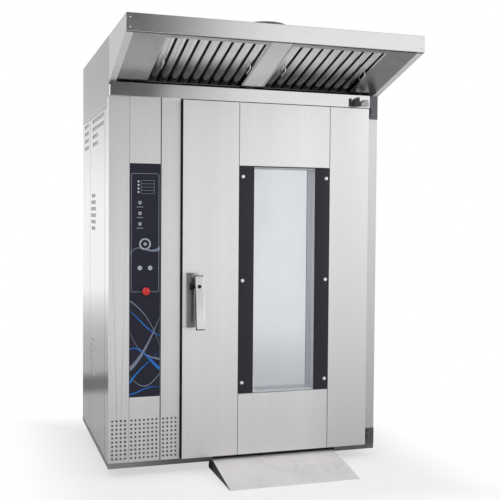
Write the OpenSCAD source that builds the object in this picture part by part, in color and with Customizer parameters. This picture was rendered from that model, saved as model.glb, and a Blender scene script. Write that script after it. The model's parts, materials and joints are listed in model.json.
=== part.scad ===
// Rotating rack oven: cabinet with exhaust hood, door, fan and heater duct,
// top-driven turning rack on swivel casters, and a loading ramp.
// Drawn in cabinet coordinates: X from the left side, Y back from the column
// fronts, Z up from the floor. at_cabinet() moves them to the part's frame,
// whose origin is the middle of the floor under the whole object.

/* [Cabinet] */
// Width of the cabinet
body_w = 1500; // [1350:10:1800]
// Depth of the cabinet behind its column fronts
body_d = 1200; // [1100:10:1500]
// Height of the feet under the side rails
foot_h = 55; // [45:1:90]
// Height of the side rails of the base frame
base_h = 28; // [24:1:40]
// Thickness of the outer sheets
sheet = 1.5; // [1:0.1:3]
// Height of the front rail above the door
rail_h = 69; // [50:1:100]
// How far the front rail stands proud of the columns
rail_proud = 36; // [30:1:50]
// Depth of the recess behind the back panel
back_recess = 30; // [15:1:60]
// Thickness of the chamber insulation
wall_t = 58; // [40:1:80]

/* [Front columns] */
// Width of the left post
post_w = 107; // [80:1:150]
// Width of the control column
control_w = 161; // [140:1:200]
// Width of the column beside the door
inner_w = 106; // [90:1:140]
// Width of the right jamb
jamb_w = 62; // [50:1:90]
// Depth of the left post's return round the corner
post_return = 84; // [60:1:120]
// Diameter of the vent holes at the foot of the columns
vent_d = 11; // [6:0.5:16]
// Pitch of the vent holes
vent_pitch = 22; // [18:1:30]
// Rows of vent holes
vent_rows = 10; // [4:1:12]

/* [Door] */
// Height of the door leaf
door_h = 1896; // [1750:1:2000]
// Thickness of the door leaf
door_t = 75; // [60:1:100]
// How far the door face stands proud of the columns
door_proud = 30; // [20:1:34]
// Gap between the door and the column on the latch side
door_gap = 6; // [3:0.5:10]
// Gap between the door and the jamb on the hinge side
hinge_gap = 2; // [1.5:0.5:4]
// Width of the left door skin
skin_left_w = 306; // [240:1:340]
// Width of the window with its clamp strips
window_w = 518; // [400:1:560]
// Height of the window
window_h = 1227; // [900:1:1300]
// Height of the window above the door's lower edge
window_up = 331; // [250:1:500]
// Width of each black clamp strip beside the glass
clamp_w = 84; // [60:1:100]
// Thickness of the glass panes
glass_t = 6; // [4:1:8]
// Thickness of the door seal
seal_t = 12; // [8:1:16]

/* [Handle] */
// Height of the handle's base above the floor
handle_z = 787; // [700:1:1100]
// Length of the handle's base
handle_h = 287; // [240:1:340]
// Width of the lever
lever_w = 46; // [36:1:60]
// Length of the lever
lever_l = 285; // [240:1:320]
// Lean of the lever at rest, in degrees
lever_lean = 9; // [4:1:12]
// Throw of the latch bolt each way
bolt_throw = 20; // [14:1:24]

/* [Controls] */
// Height of the control overlay's lower edge above the floor
overlay_z = 425; // [300:1:600]
// Height of the control overlay
overlay_h = 1220; // [1150:1:1300]
// Thickness of the control overlay
overlay_t = 3; // [2:0.5:5]
// Diameter of the emergency button's head
emergency_d = 42; // [30:1:50]
// Diameter of the start and stop buttons
button_d = 18; // [14:1:24]

/* [Hood] */
// How far the hood reaches out over the front
hood_out = 580; // [450:10:700]
// Height of the hood's roof above the front rail
hood_rise = 240; // [240:1:340]
// Height of the hood's fascia
fascia_h = 82; // [60:1:120]
// Width of each grease filter
filter_w = 524; // [440:1:560]
// Width of the divider between the filters
divider_w = 100; // [60:1:140]
// Thickness of the grease filters
filter_t = 40; // [25:1:50]
// Number of front baffles in a filter
baffles = 9; // [5:1:10]
// Diameter of the exhaust collar on the hood
collar_d = 200; // [150:5:250]
// Height of the exhaust collar above the roof
collar_h = 75; // [40:1:120]

/* [Chamber] */
// Width of the air duct between the duct wall and the chamber
duct_w = 157; // [130:1:200]
// Thickness of the chamber floor
floor_t = 7; // [5:1:10]
// Thickness of the chamber's liner sheets
liner = 2; // [1.5:0.5:3]
// Diameter of the circulation fan
fan_d = 380; // [300:10:420]
// Width of the circulation fan
fan_w = 80; // [60:1:90]
// Height of the fan's axis above the floor
fan_z = 1450; // [1350:10:1500]
// Diameter of the steam flue
flue_d = 100; // [80:1:125]

/* [Rack] */
// Width of the rack
rack_w = 640; // [530:1:680]
// Depth of the rack
rack_d = 680; // [560:1:700]
// Height of the rack above its wheels' floor
rack_h = 1760; // [1500:1:1780]
// Side of the rack's square tubes
tube = 30; // [25:1:32]
// Outer radius of the bends at the top of the rack
bend_r = 100; // [80:1:140]
// Number of tray levels
levels = 18; // [10:1:18]
// Height of the lowest runner above the wheels' floor
first_level = 205; // [195:1:260]
// Side of the tubes across the top of the rack
cross_tube = 25; // [20:1:28]
// Distance between the two tubes across the top
cross_gap = 380; // [300:1:420]

/* [Casters] */
// Diameter of the caster wheels
wheel_d = 100; // [80:1:110]
// Width of the caster wheels
wheel_w = 30; // [24:1:36]
// Height of a caster from the floor to the rack's base
caster_h = 147; // [135:1:170]
// Distance from the rack's sides to the caster pivots
caster_inset = 75; // [70:1:100]
// Trail of the caster wheels
trail = 30; // [15:1:40]

/* [Drive] */
// Diameter of the lifting shaft
shaft_d = 40; // [30:1:50]
// Module of the gears
gear_m = 5; // [4:0.5:6]
// Teeth on the motor's pinion
pinion_teeth = 15; // [13:1:20]
// Teeth on the shaft's gear
gear_teeth = 60; // [45:1:66]
// Thickness of the shaft's gear
gear_t = 16; // [12:1:20]
// How far the rack is lifted off its floor
lift = 25; // [15:1:30]

/* [Ramp] */
// Width of the ramp
ramp_w = 703; // [600:1:900]
// How far the ramp reaches out in front of the columns
ramp_out = 380; // [300:10:450]

/* [Hidden] */
$fn = 48;

// Finishes
steel = [0.78, 0.78, 0.79];
bright = [0.86, 0.86, 0.87];
dark_steel = [0.42, 0.42, 0.44];
navy = [0.13, 0.14, 0.2];
black = [0.08, 0.08, 0.09];
red = [0.85, 0.13, 0.13];
glass = [0.78, 0.84, 0.87];
wool = [0.85, 0.8, 0.6];
brass = [0.78, 0.62, 0.3];
cast = [0.3, 0.3, 0.32];

// Clearances
fit = 0.3;
run = 0.06;
seam = 0.2;

// Levels
base_top = foot_h + base_h;
door_z0 = base_top + 4;
door_z1 = door_z0 + door_h;
rail_z0 = door_z1 + 3;
rail_z1 = rail_z0 + rail_h;
roof_z = rail_z1 + hood_rise;
floor_z = foot_h + floor_t;
ceiling_z = door_z1 - wall_t;
wool_top = ceiling_z + liner + wall_t;
panel_top = rail_z0 - 52;

// Lines across the front
control_x = post_w;
inner_x = post_w + control_w;
reveal = 4;
door_x0 = inner_x + inner_w + door_gap;
door_x1 = body_w - jamb_w - hinge_gap;
window_x0 = door_x0 + skin_left_w;
window_x1 = window_x0 + window_w;
window_z0 = door_z0 + window_up;
window_z1 = window_z0 + window_h;
glass_y = -door_proud + sheet + 3;
inner_glass_y = door_t - door_proud - 3 - glass_t;
pan_t = 1.2;
skin_gap = 1.5;

// Depths
door_back = door_t - door_proud;
front_y = door_back + seal_t + fit;
cavity_y1 = body_d - back_recess - sheet - wall_t - liner;

// Chamber between the air wall and the right liner
cavity_x0 = door_x0 + 20;
cavity_x1 = door_x1 - 24;
duct_x = cavity_x0 - duct_w;
air_wall_x = cavity_x0 - liner;
mid_x = (cavity_x0 + cavity_x1) / 2;
mid_y = (front_y + cavity_y1) / 2;

// Lines of levelling feet, set back behind the front rail
feet_y = [250, mid_y, body_d - 150];

// Panels of the left side: first panel's front edge, fold depth and open joints
side_y0 = post_return + 64;
side_fold = 18;
side_joint = 8;

// Hinge line of the door
hinge_x = door_x1 + 17;
hinge_y = -door_proud + 14;
knuckle_r = 11;
hinge_pin_r = 6;
hinge_h = 22;
knuckle_z = [door_z0 + 34, door_z1 - hinge_h - 3];

// Hood
soffit_run = hood_out - sheet;
soffit_drop = roof_z - fascia_h - rail_z1;
soffit_l = sqrt(pow(soffit_run, 2) + pow(soffit_drop, 2));
soffit_a = atan(soffit_drop / soffit_run);
soffit_edge = 24;
hood_flange = 20;
filter_l = soffit_l - 2 * soffit_edge;
filter_x = [(body_w - divider_w) / 2 - filter_w, (body_w + divider_w) / 2];
collar_x = body_w / 2 + 34;
collar_y = -hood_out * 0.31;

// Rack
rack_top = floor_z + rack_h;
rack_bottom = floor_z + caster_h;
cross_z = rack_top - cross_tube;
level_pitch = (rack_h - bend_r - first_level) / levels;
caster_x = rack_w / 2 - caster_inset;
caster_y = rack_d / 2 - caster_inset;
casters = [[-1, -1, 190], [1, -1, 262], [-1, 1, 215], [1, 1, -12]];
raceway_h = 15;
crown_z = floor_z + caster_h - 4 - raceway_h;

// Drive
drive_z = wool_top + 10;
gear_z = drive_z + 34;
gear_r = gear_m * gear_teeth / 2;
pinion_r = gear_m * pinion_teeth / 2;
gear_gap = gear_r + pinion_r;
pinion_h = gear_t + lift + 8;
pinion_z = gear_z - 4;
yoke_z = gear_z + gear_t + lift + 18;
yoke_h = 30;
post_r = 12.5;
post_x = gear_r + gear_m + 32;
actuator_x = post_x + 62;
actuator_r = 28;
rod_r = 10;
backlash = 0.7;

carrier_rise = 54;

// Fan
fan_y = mid_y;
fan_x0 = duct_x + 22;
motor_r = 82;
motor_shaft_r = 12;

// Humidifier
trough_l = 300;
trough_h = 30;
trough_pitch = 110;
troughs = 5;
trough_z0 = floor_z + 300;
drain_x = duct_x + 80;
drain_y = mid_y + 100;
drain_r = 16.85;
pipe_r = 9;
inlet_r = 10.65;
pipe_x = duct_x + 80;
pipe_z = trough_z0 + troughs * trough_pitch + 40;

// Cable gland in the machine space behind the left panels
gland_x = (duct_x - liner - wall_t) / 2;
gland_z = pipe_z + 260;

// Flue
flue_x = cavity_x1 - 110;
flue_y = cavity_y1 - 110;
flue_top = roof_z + 50;
damper_z = (wool_top + roof_z) / 2;
spindle_r = 4;

// Controls
overlay_y = -overlay_t;
overlay_mid = control_x + control_w / 2;
key_x = control_x + 53;
buttons_z = overlay_z + 676;
start_x = key_x;
stop_x = key_x + 54;
emergency_x = control_x + 84;
emergency_z = overlay_z + 555;
ring_z = overlay_z + 801;
lamp_z = overlay_z + 1126;
button_travel = 2.5;
emergency_travel = 5;

// Handle
handle_x0 = door_x0 + 4;
base_w = 62;
base_t = 22;
pivot_z = handle_z + handle_h - 70;
pivot_y = -door_proud - 56;
pivot_x = handle_x0 + 48;
bolt_z = pivot_z;
bolt_y = 18;
bore_l = 4 * bolt_throw + 30;

// Ramp
ramp_t = 3;
ramp_x = mid_x - ramp_w / 2;
ramp_lip = 22;

// ---------------------------------------------------------------- helpers
module at_cabinet() {
    translate([-body_w / 2, (hood_out - body_d) / 2, 0]) children();
}

module at_rack() {
    translate([mid_x, mid_y, 0]) children();
}

// A block between two corners
module slab(x0, x1, y0, y1, z0, z1) {
    translate([x0, y0, z0]) cube([x1 - x0, y1 - y0, z1 - z0]);
}

// A round bar along one axis, from a point
module bar_x(p, r, l) {
    translate(p) rotate([0, 90, 0]) cylinder(r = r, h = l);
}

module bar_y(p, r, l) {
    translate(p) rotate([-90, 0, 0]) cylinder(r = r, h = l);
}

module bar_z(p, r, l) {
    translate(p) cylinder(r = r, h = l);
}

// A ring standing on XY
module ring(ro, ri, h) {
    difference() {
        cylinder(r = ro, h = h);
        translate([0, 0, -1]) cylinder(r = ri, h = h + 2);
    }
}

// A hollow square tube along Y
module tube_y(x0, x1, y0, y1, z0, z1, t) {
    difference() {
        slab(x0, x1, y0, y1, z0, z1);
        slab(x0 + t, x1 - t, y0 - 1, y1 + 1, z0 + t, z1 - t);
    }
}

// A hollow square tube along X
module tube_x(x0, x1, y0, y1, z0, z1, t) {
    difference() {
        slab(x0, x1, y0, y1, z0, z1);
        slab(x0 - 1, x1 + 1, y0 + t, y1 - t, z0 + t, z1 - t);
    }
}

// A slot with round ends, cut through a panel that lies across X
module slot_x(y0, y1, z, h, t) {
    translate([-t, y0 + h / 2, z]) rotate([0, 90, 0]) cylinder(d = h, h = 3 * t, $fn = 24);
    translate([-t, y1 - h / 2, z]) rotate([0, 90, 0]) cylinder(d = h, h = 3 * t, $fn = 24);
    slab(-t, 2 * t, y0 + h / 2, y1 - h / 2, z - h / 2, z + h / 2);
}

// The grid of vent holes at the foot of a column
module vents(x, w, cols) {
    pitch = min(vent_pitch, (w - 28) / (cols - 1));
    for (i = [0:cols - 1], j = [0:vent_rows - 1])
        bar_y([x + (i - (cols - 1) / 2) * pitch, -1, base_top + 22 + j * vent_pitch],
            vent_d / 2, sheet + 2);
}

// A folded column: front sheet with a return at each side
module column(x0, w, depth, cols) {
    difference() {
        slab(x0, x0 + w, 0, depth, base_top, rail_z0);
        slab(x0 + sheet, x0 + w - sheet, sheet, depth + 1, base_top - 1, rail_z0 + 1);
        vents(x0 + w / 2 - 3, w, cols);
    }
}

// ------------------------------------------------------------- base frame
module base_frame() {
    rail_w = 40;
    color(dark_steel) {
        for (x = [0, body_w - rail_w])
            tube_y(x, x + rail_w, rail_w + seam, body_d, foot_h, base_top, 3);
        front_rail(0, ramp_x - 1, rail_w, 3);
        front_rail(ramp_x + ramp_w + 1, body_w, rail_w, 3);
        tube_x(rail_w + seam, body_w - rail_w - seam, body_d - back_recess - rail_w - sheet,
            body_d - back_recess - sheet, foot_h, base_top, 3);
        for (y = feet_y)
            tube_x(20, body_w - 20, y - 20, y + 20, foot_h - 28, foot_h - seam, 3);
    }
}

// Part of the front rail, with its outer end closed
module front_rail(x0, x1, w, t) {
    difference() {
        slab(x0, x1, 0, w, foot_h, base_top);
        slab(x0 == 0 ? t : x0 - 1, x0 == 0 ? x1 + 1 : x1 - t, t, w - t, foot_h + t, base_top - t);
    }
}

module levelling_feet() {
    color(black)
        for (x = [60, body_w / 2, body_w - 60], y = feet_y)
            translate([x, y, 0]) {
                cylinder(r = 28, h = 8);
                cylinder(r = 9, h = foot_h - 28 - seam);
                translate([0, 0, 11]) cylinder(r = 15, h = 8, $fn = 6);
            }
}

// ---------------------------------------------------------------- casing
module left_post() {
    color(steel) {
        difference() {
            slab(0, post_w, 0, post_return, base_top, rail_z0);
            slab(sheet, post_w - sheet, sheet, post_return + 1, base_top - 1, rail_z0 + 1);
            slab(post_w - sheet - 1, post_w + 1, 30, post_return + 1, base_top - 1, rail_z0 + 1);
            vents(post_w / 2, post_w, 4);
        }
        slab(0, sheet, post_return - 1, side_y0 - side_joint, base_top, panel_top);
        slab(0, side_fold, side_y0 - side_joint - sheet, side_y0 - side_joint, base_top, panel_top);
    }
}

module control_column() {
    color(steel) difference() {
        column(control_x + 1, control_w - 1, front_y - fit, 7);
        for (x = [start_x, stop_x])
            bar_y([x, -1, buttons_z], button_d / 2 + 1, sheet + 2);
        bar_y([emergency_x, -1, emergency_z], 10.5, sheet + 2);
    }
}

module inner_column() {
    color(steel) difference() {
        column(inner_x + reveal, inner_w - reveal, front_y - fit, 4);
        slab(inner_x + inner_w - sheet - 1, inner_x + inner_w + 1,
            bolt_y - 10, bolt_y + 10, bolt_z - 13, bolt_z + 13);
    }
}

module right_jamb() {
    color(steel) difference() {
        slab(body_w - jamb_w, body_w, 0, post_return, base_top, rail_z0);
        slab(body_w - jamb_w + sheet, body_w - sheet, sheet, post_return + 1,
            base_top - 1, rail_z0 + 1);
        slab(body_w - jamb_w - 1, body_w - jamb_w + sheet + 1, front_y - fit,
            post_return + 1, base_top - 1, rail_z0 + 1);
    }
}

// Rows of louvres, each [y0, y1, z]: two long over two short, then lens-shaped groups
function louvre_rows(y0, y1) = concat(
    [for (k = [0:1]) [y0 + 36, y1 - 102, panel_top - 22 - 44 * k]],
    [for (k = [2:3]) [y0 + (y1 - y0) * 0.45, y1 - 126, panel_top - 22 - 44 * k]],
    [for (z = [548, 1391], k = [0:5]) louvre_lens(y0 + (y1 - y0) * 0.75, z, k)]);

function louvre_lens(y, z, k) = let (half = 116 - 8 * pow(abs(k - 2.5) - 0.5, 2))
    [y - half, y + half, z + 37.5 * (k - 2.5)];

// Folded panel lying across X at the left side, with louvres pressed inwards
module side_sheet(y0, y1, rows) {
    slot_h = 20;
    difference() {
        slab(0, side_fold, y0, y1, base_top, panel_top);
        slab(sheet, side_fold + 1, y0 + sheet, y1 - sheet, base_top + sheet, panel_top - sheet);
        for (r = rows) slot_x(r[0], r[1], r[2], slot_h, sheet);
    }
    for (r = rows)
        translate([0, r[1] - 3, r[2]]) rotate([90, 0, 0]) linear_extrude(height = r[1] - r[0] - 6)
            polygon([[0.6, -slot_h / 2 - 1], [sheet + 0.6, -slot_h / 2 - 1],
                [10, slot_h / 2 - 3], [8.8, slot_h / 2 - 3]]);
}

module left_side_panels() {
    joint_y = side_y0 + (body_d - side_y0) * 0.63;
    front_y1 = joint_y - side_joint / 2;
    rear_y0 = joint_y + side_joint / 2;
    rear_rows = [for (k = [0:3]) [rear_y0 + 70, body_d - 102, panel_top - 22 - 44 * k]];
    color(steel) {
        side_sheet(side_y0, front_y1, louvre_rows(side_y0, front_y1));
        side_sheet(rear_y0, body_d, rear_rows);
    }
}

module right_side_panel() {
    joint_y = body_d * 0.52;
    ends = [[post_return + fit, joint_y - side_joint / 2], [joint_y + side_joint / 2, body_d]];
    color(steel) for (y = ends) difference() {
        slab(body_w - side_fold, body_w, y[0], y[1], base_top, panel_top);
        slab(body_w - side_fold - 1, body_w - sheet, y[0] + sheet, y[1] - sheet,
            base_top + sheet, panel_top - sheet);
    }
}

module back_panel() {
    y1 = body_d - back_recess;
    color(steel) difference() {
        slab(side_fold + fit, body_w - side_fold - fit, y1 - sheet, y1, base_top,
            roof_z - sheet - fit);
        bar_y([pipe_x, y1 - 5, pipe_z], pipe_r + fit, 10);
        bar_y([gland_x, y1 - 5, gland_z], 16 + fit, 10);
        for (i = [0:13])
            slab(100 + 28 * i, 112 + 28 * i, y1 - 5, y1 + 5, roof_z - 190, roof_z - 90);
    }
}

module header_rail() {
    color(bright) difference() {
        slab(sheet + fit, body_w - jamb_w, -rail_proud, front_y - fit, rail_z0, rail_z1);
        slab(sheet, body_w - jamb_w + 1, sheet - rail_proud, front_y + 1,
            rail_z0 + sheet, rail_z1 - sheet);
    }
}

// ------------------------------------------------------------------ hood
// Side of the hood in front of the cabinet, and the casing's upper side behind
module hood_side() {
    y0 = sheet + seam - hood_out;
    z1 = roof_z - sheet - seam;
    rotate([90, 0, 90]) linear_extrude(height = sheet) {
        polygon([[y0, roof_z - fascia_h], [y0, z1], [-1, z1], [-1, rail_z1 + 0.3]]);
        polygon([[1, rail_z0 + seam], [1, z1], [body_d, z1], [body_d, panel_top + 2],
            [post_return + fit, panel_top + 2], [post_return + fit, rail_z0 + seam]]);
    }
}

module hood_canopy() {
    lip = 14;
    color(bright) {
        difference() {
            slab(0, body_w, -hood_out, body_d, roof_z - sheet, roof_z);
            bar_z([collar_x, collar_y, roof_z - 5], collar_d / 2 + 1, 10);
            bar_z([flue_x, flue_y, roof_z - 5], flue_d / 2 + 1, 10);
        }
        slab(0, body_w, -hood_out, sheet - hood_out, roof_z - fascia_h, roof_z - sheet - seam);
        slab(sheet + fit, body_w - sheet - fit, sheet + seam - hood_out, lip - hood_out,
            roof_z - fascia_h, roof_z - fascia_h + sheet);
        for (x = [0, body_w - sheet]) translate([x, 0, 0]) hood_side();
        for (x = [sheet - 0.5, body_w - hood_flange])
            at_soffit() translate([x, 8, 0.4])
                cube([hood_flange - sheet + 0.5, soffit_l - 26, sheet]);
    }
}

// Frame with X across, Y up the soffit from its lower edge, Z into the hood
module at_soffit() {
    translate([0, 0, rail_z1]) rotate([180 - soffit_a, 0, 0]) mirror([0, 0, 1]) children();
}

module hood_soffit() {
    rim = 12;
    color(bright) at_soffit() difference() {
        translate([hood_flange + fit, fit, 0])
            cube([body_w - 2 * hood_flange - 2 * fit, soffit_l - fit - 16, sheet]);
        for (x = filter_x)
            translate([x + rim, soffit_edge + rim, -1])
                cube([filter_w - 2 * rim, filter_l - 2 * rim - 8, sheet + 2]);
    }
}

// One arched baffle, a channel that runs up the filter with its crown in Z
module baffle(w, l, t) {
    r = w * 0.75;
    half = asin(w / 2 / r);
    rotate([-90, 0, 0]) linear_extrude(height = l) difference() {
        intersection() {
            translate([0, r * cos(half)]) circle(r = r);
            translate([-w / 2, -r]) square([w, r]);
        }
        translate([0, r * cos(half)]) circle(r = r - t);
    }
}

// Wire handle standing out of a filter
module wire_handle() {
    wire_r = 3;
    half = 36;
    out = 34;
    for (s = [-1, 1])
        translate([0, s * half, 0]) cylinder(r = wire_r, h = out - 8);
    for (s = [-1, 1])
        translate([0, s * (half - 8), out - 8]) rotate([0, 0, s * 90]) rotate([90, 0, 0])
            rotate_extrude(angle = 90) translate([8, 0]) circle(r = wire_r);
    translate([0, 8 - half, out]) rotate([-90, 0, 0]) cylinder(r = wire_r, h = 2 * half - 16);
}

// A grease filter: channel frame, two staggered rows of baffles, two handles
module filter(x) {
    frame_w = 16;
    wall = 1.2;
    pitch = (filter_w - 2 * frame_w) / baffles;
    l = filter_l - 8;
    crown = pitch * 0.78 * 0.75 * (1 - cos(asin(2 / 3)));
    handle_up = sheet + fit + 15 - crown - seam;
    color(bright) at_soffit() translate([x, soffit_edge, sheet + fit]) {
        difference() {
            cube([filter_w, l, filter_t]);
            translate([frame_w, frame_w, -1]) cube([filter_w - 2 * frame_w, l - 2 * frame_w, filter_t + 2]);
        }
        for (i = [0:baffles - 1])
            translate([frame_w + pitch * (i + 0.5), frame_w, 15]) mirror([0, 0, 1])
                baffle(pitch * 0.78, l - 2 * frame_w, wall);
        for (i = [1:baffles - 1])
            translate([frame_w + pitch * i, frame_w, 20]) baffle(pitch * 0.6, l - 2 * frame_w, wall);
    }
    color(bright) at_soffit() translate([x, soffit_edge + l / 2, handle_up])
        for (s = [frame_w + pitch / 2, filter_w - frame_w - pitch / 2])
            translate([s, 0, 0]) mirror([0, 0, 1]) wire_handle();
}

module filter_left() {
    filter(filter_x[0]);
}

module filter_right() {
    filter(filter_x[1]);
}

module duct_collar() {
    color(dark_steel) translate([collar_x, collar_y, roof_z]) {
        ring(collar_d / 2, collar_d / 2 - 1.5, collar_h);
        ring(collar_d / 2 + 22, collar_d / 2 - 1.5, 2);
        translate([0, 0, collar_h - 4]) ring(collar_d / 2 - 1, collar_d / 2 - 5, 4);
    }
}

// --------------------------------------------------------------- chamber
module oven_chamber() {
    x0 = duct_x - liner;
    x1 = cavity_x1 + liner;
    z1 = ceiling_z + liner;
    y0 = front_y + liner + seam;
    y1 = cavity_y1 - seam;
    wall_z0 = floor_z + seam;
    wall_z1 = ceiling_z - seam;
    color(steel) {
        difference() {
            slab(x0, x1, y0, cavity_y1 + liner, foot_h, floor_z);
            bar_z([drain_x, drain_y, foot_h - 1], drain_r + fit, floor_t + 2);
        }
        difference() {
            slab(x0, duct_x, y0, y1, wall_z0, wall_z1);
            bar_x([x0 - 1, fan_y, fan_z], motor_shaft_r + 8, liner + 2);
        }
        slab(cavity_x1, x1, y0, y1, wall_z0, wall_z1);
        difference() {
            slab(x0, x1, cavity_y1, cavity_y1 + liner, wall_z0, wall_z1);
            bar_y([pipe_x, cavity_y1 - 5, pipe_z], pipe_r + fit, 12);
        }
        difference() {
            slab(x0, x1, y0, cavity_y1 + liner, ceiling_z, z1);
            bar_z([mid_x, mid_y, ceiling_z - 5], shaft_d / 2 + 4, 12);
            bar_z([flue_x, flue_y, ceiling_z - 5], flue_d / 2 - 2, 12);
        }
        slab(x0, cavity_x0, front_y, front_y + liner, foot_h, z1);
        slab(cavity_x1, door_x1, front_y, front_y + liner, foot_h, z1);
        slab(x0, door_x1, front_y, front_y + liner, z1 + seam, rail_z1);
    }
}

// Perforated wall between the air duct and the chamber
module air_wall() {
    rows = 12;
    row_pitch = (ceiling_z - floor_z - 160) / rows;
    color(bright) difference() {
        slab(air_wall_x, cavity_x0, front_y + liner + seam, cavity_y1 - seam,
            floor_z + seam, ceiling_z - seam);
        translate([air_wall_x, 0, 0]) {
            for (j = [0:rows - 1], y = [front_y + 70, front_y + 150, cavity_y1 - 230, cavity_y1 - 150])
                slot_x(y, y + 60, floor_z + 80 + (j + 0.5) * row_pitch, 26, 2);
            for (i = [-3:3], k = [-3:3])
                if (norm([i, k]) < 3.3)
                    bar_x([-4, fan_y + i * 42, fan_z + k * 42], 15, 8);
        }
    }
}

module insulation() {
    z0 = foot_h;
    left_x = duct_x - liner;
    right_x = cavity_x1 + liner;
    back_y = cavity_y1 + liner;
    color(wool) {
        difference() {
            slab(left_x - wall_t, left_x, front_y, back_y, z0 + base_h, wool_top - wall_t);
            bar_x([left_x - wall_t - 5, fan_y, fan_z], motor_shaft_r + 8, wall_t + 10);
        }
        slab(right_x, body_w - 40 - fit, front_y + 40, back_y, z0 + base_h, wool_top - wall_t);
        difference() {
            slab(left_x, right_x, back_y, back_y + wall_t - fit, z0 + base_h, wool_top - wall_t);
            bar_y([pipe_x, back_y - 5, pipe_z], pipe_r + fit, wall_t + 10);
        }
        difference() {
            slab(left_x, right_x, front_y + liner, back_y, wool_top - wall_t, wool_top);
            bar_z([mid_x, mid_y, ceiling_z - 5], shaft_d / 2 + 4, wall_t + 20);
            bar_z([flue_x, flue_y, ceiling_z - 5], flue_d / 2 + fit, wall_t + 20);
        }
    }
}

// Hairpin heaters hanging from their terminal plates in the air duct
module hairpin(h, r) {
    rod = 6;
    for (s = [-1, 1])
        translate([s * r, 0, -h]) cylinder(r = rod, h = h, $fn = 24);
    translate([0, 0, -h]) rotate([-90, 0, 0]) rotate_extrude(angle = 180)
        translate([r, 0]) circle(r = rod, $fn = 24);
}

module heating_elements() {
    x = (duct_x + air_wall_x) / 2;
    plate_z = ceiling_z - 80;
    length = 1000;
    count = 5;
    pitch = 50;
    color(dark_steel)
        for (y0 = [front_y + 70, cavity_y1 - 70 - (count - 1) * pitch]) {
            slab(duct_x, air_wall_x, y0 - 30, y0 + (count - 1) * pitch + 30, plate_z, plate_z + 5);
            for (i = [0:count - 1])
                translate([x, y0 + i * pitch, plate_z]) {
                    hairpin(length, 36);
                    for (s = [-1, 1])
                        translate([s * 36, 0, 5]) cylinder(r = 9, h = 22, $fn = 24);
                }
        }
}

// Motor with cooling fins behind its flange, shaft towards +X
module fan_motor() {
    flange_x = duct_x - liner - wall_t;
    body_l = flange_x - 30;
    fins = 8;
    color(dark_steel) translate([flange_x, fan_y, fan_z]) rotate([0, -90, 0]) {
        difference() {
            cylinder(r = motor_r + 16, h = 12);
            translate([0, 0, -1]) cylinder(r = motor_shaft_r + run, h = 9);
        }
        translate([0, 0, 12]) cylinder(r = motor_r - 12, h = body_l - 12);
        for (i = [0:fins - 1])
            translate([0, 0, 22 + i * (body_l - 60) / fins]) cylinder(r = motor_r, h = 5);
        translate([0, 0, body_l - 26]) cylinder(r = motor_r + 3, h = 26);
        translate([motor_r - 20, -32, 34]) cube([48, 64, 70]);
    }
}

// Centrifugal wheel: back plate, curved blades, inlet ring, hub and shaft
module circulation_fan() {
    blades = 10;
    blade_r = fan_d * 0.3;
    color(bright) translate([fan_x0, fan_y, fan_z]) rotate([0, 90, 0]) {
        cylinder(r = fan_d / 2, h = 2);
        translate([0, 0, fan_w - 2]) ring(fan_d / 2, fan_d * 0.32, 2);
        translate([0, 0, 2]) cylinder(r = 30, h = 34);
        translate([0, 0, duct_x - liner - wall_t - fan_x0 - 6])
            cylinder(r = motor_shaft_r, h = fan_x0 - duct_x + liner + wall_t + 6);
        for (i = [0:blades - 1])
            rotate([0, 0, i * 360 / blades]) translate([0, 0, 2]) linear_extrude(height = fan_w - 4)
                intersection() {
                    translate([fan_d * 0.3, -blade_r]) difference() {
                        circle(r = blade_r);
                        circle(r = blade_r - 2.5);
                    }
                    difference() {
                        circle(r = fan_d / 2 - 2);
                        circle(r = fan_d * 0.33);
                    }
                    translate([0, -fan_d / 2]) square([fan_d, fan_d / 2 + fan_d * 0.2]);
                }
    }
}

// Cascade of cast troughs between two cheeks, fed by a spray pipe
module humidifier() {
    y0 = mid_y - trough_l / 2;
    y1 = mid_y + trough_l / 2;
    x1 = air_wall_x - 14;
    top = trough_z0 + troughs * trough_pitch;
    color(cast) {
        for (y = [y0 - 8, y1])
            slab(duct_x, x1, y, y + 8, trough_z0 - 40, top);
        for (k = [0:troughs - 1]) {
            z = trough_z0 + k * trough_pitch;
            difference() {
                slab(duct_x + 8, x1, y0, y1, z, z + trough_h);
                slab(duct_x + 14, x1 - 6, y0 + 6, y1 - 6, z + 6, z + trough_h + 1);
            }
        }
    }
    spigot_y = body_d - back_recess + 1;
    color(steel) difference() {
        union() {
            bar_y([pipe_x, y0 + 40, pipe_z], pipe_r, spigot_y - y0 - 40);
            bar_y([pipe_x, spigot_y, pipe_z], inlet_r, body_d - 4 - spigot_y);
            bar_z([pipe_x, y0 + 60, pipe_z - 30], 5, 30);
            bar_z([pipe_x, y1 - 60, pipe_z - 30], 5, 30);
        }
        bar_y([pipe_x, y0 + 44, pipe_z], pipe_r - 2, body_d - y0);
    }
}

// Flue pipe through the roof, with the bearings of its damper
module steam_flue() {
    z0 = ceiling_z + liner;
    color(steel) translate([flue_x, flue_y, 0]) difference() {
        union() {
            translate([0, 0, z0]) ring(flue_d / 2, flue_d / 2 - 2, flue_top - z0);
            translate([0, 0, roof_z + fit]) ring(flue_d / 2 + 22, flue_d / 2 - 1, 2);
            translate([0, 0, roof_z + 2]) ring(flue_d / 2 + 2, flue_d / 2 - 1, flue_top - roof_z - 2);
            for (s = [-1, 1])
                bar_x([s > 0 ? flue_d / 2 - 2 : -flue_d / 2 - 12, 0, damper_z], 10, 14);
        }
        bar_x([-flue_d, 0, damper_z], spindle_r + run, 2 * flue_d);
        translate([0, 0, z0 - 1]) cylinder(r = flue_d / 2 - 2, h = flue_top - z0 + 2);
    }
}

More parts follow.
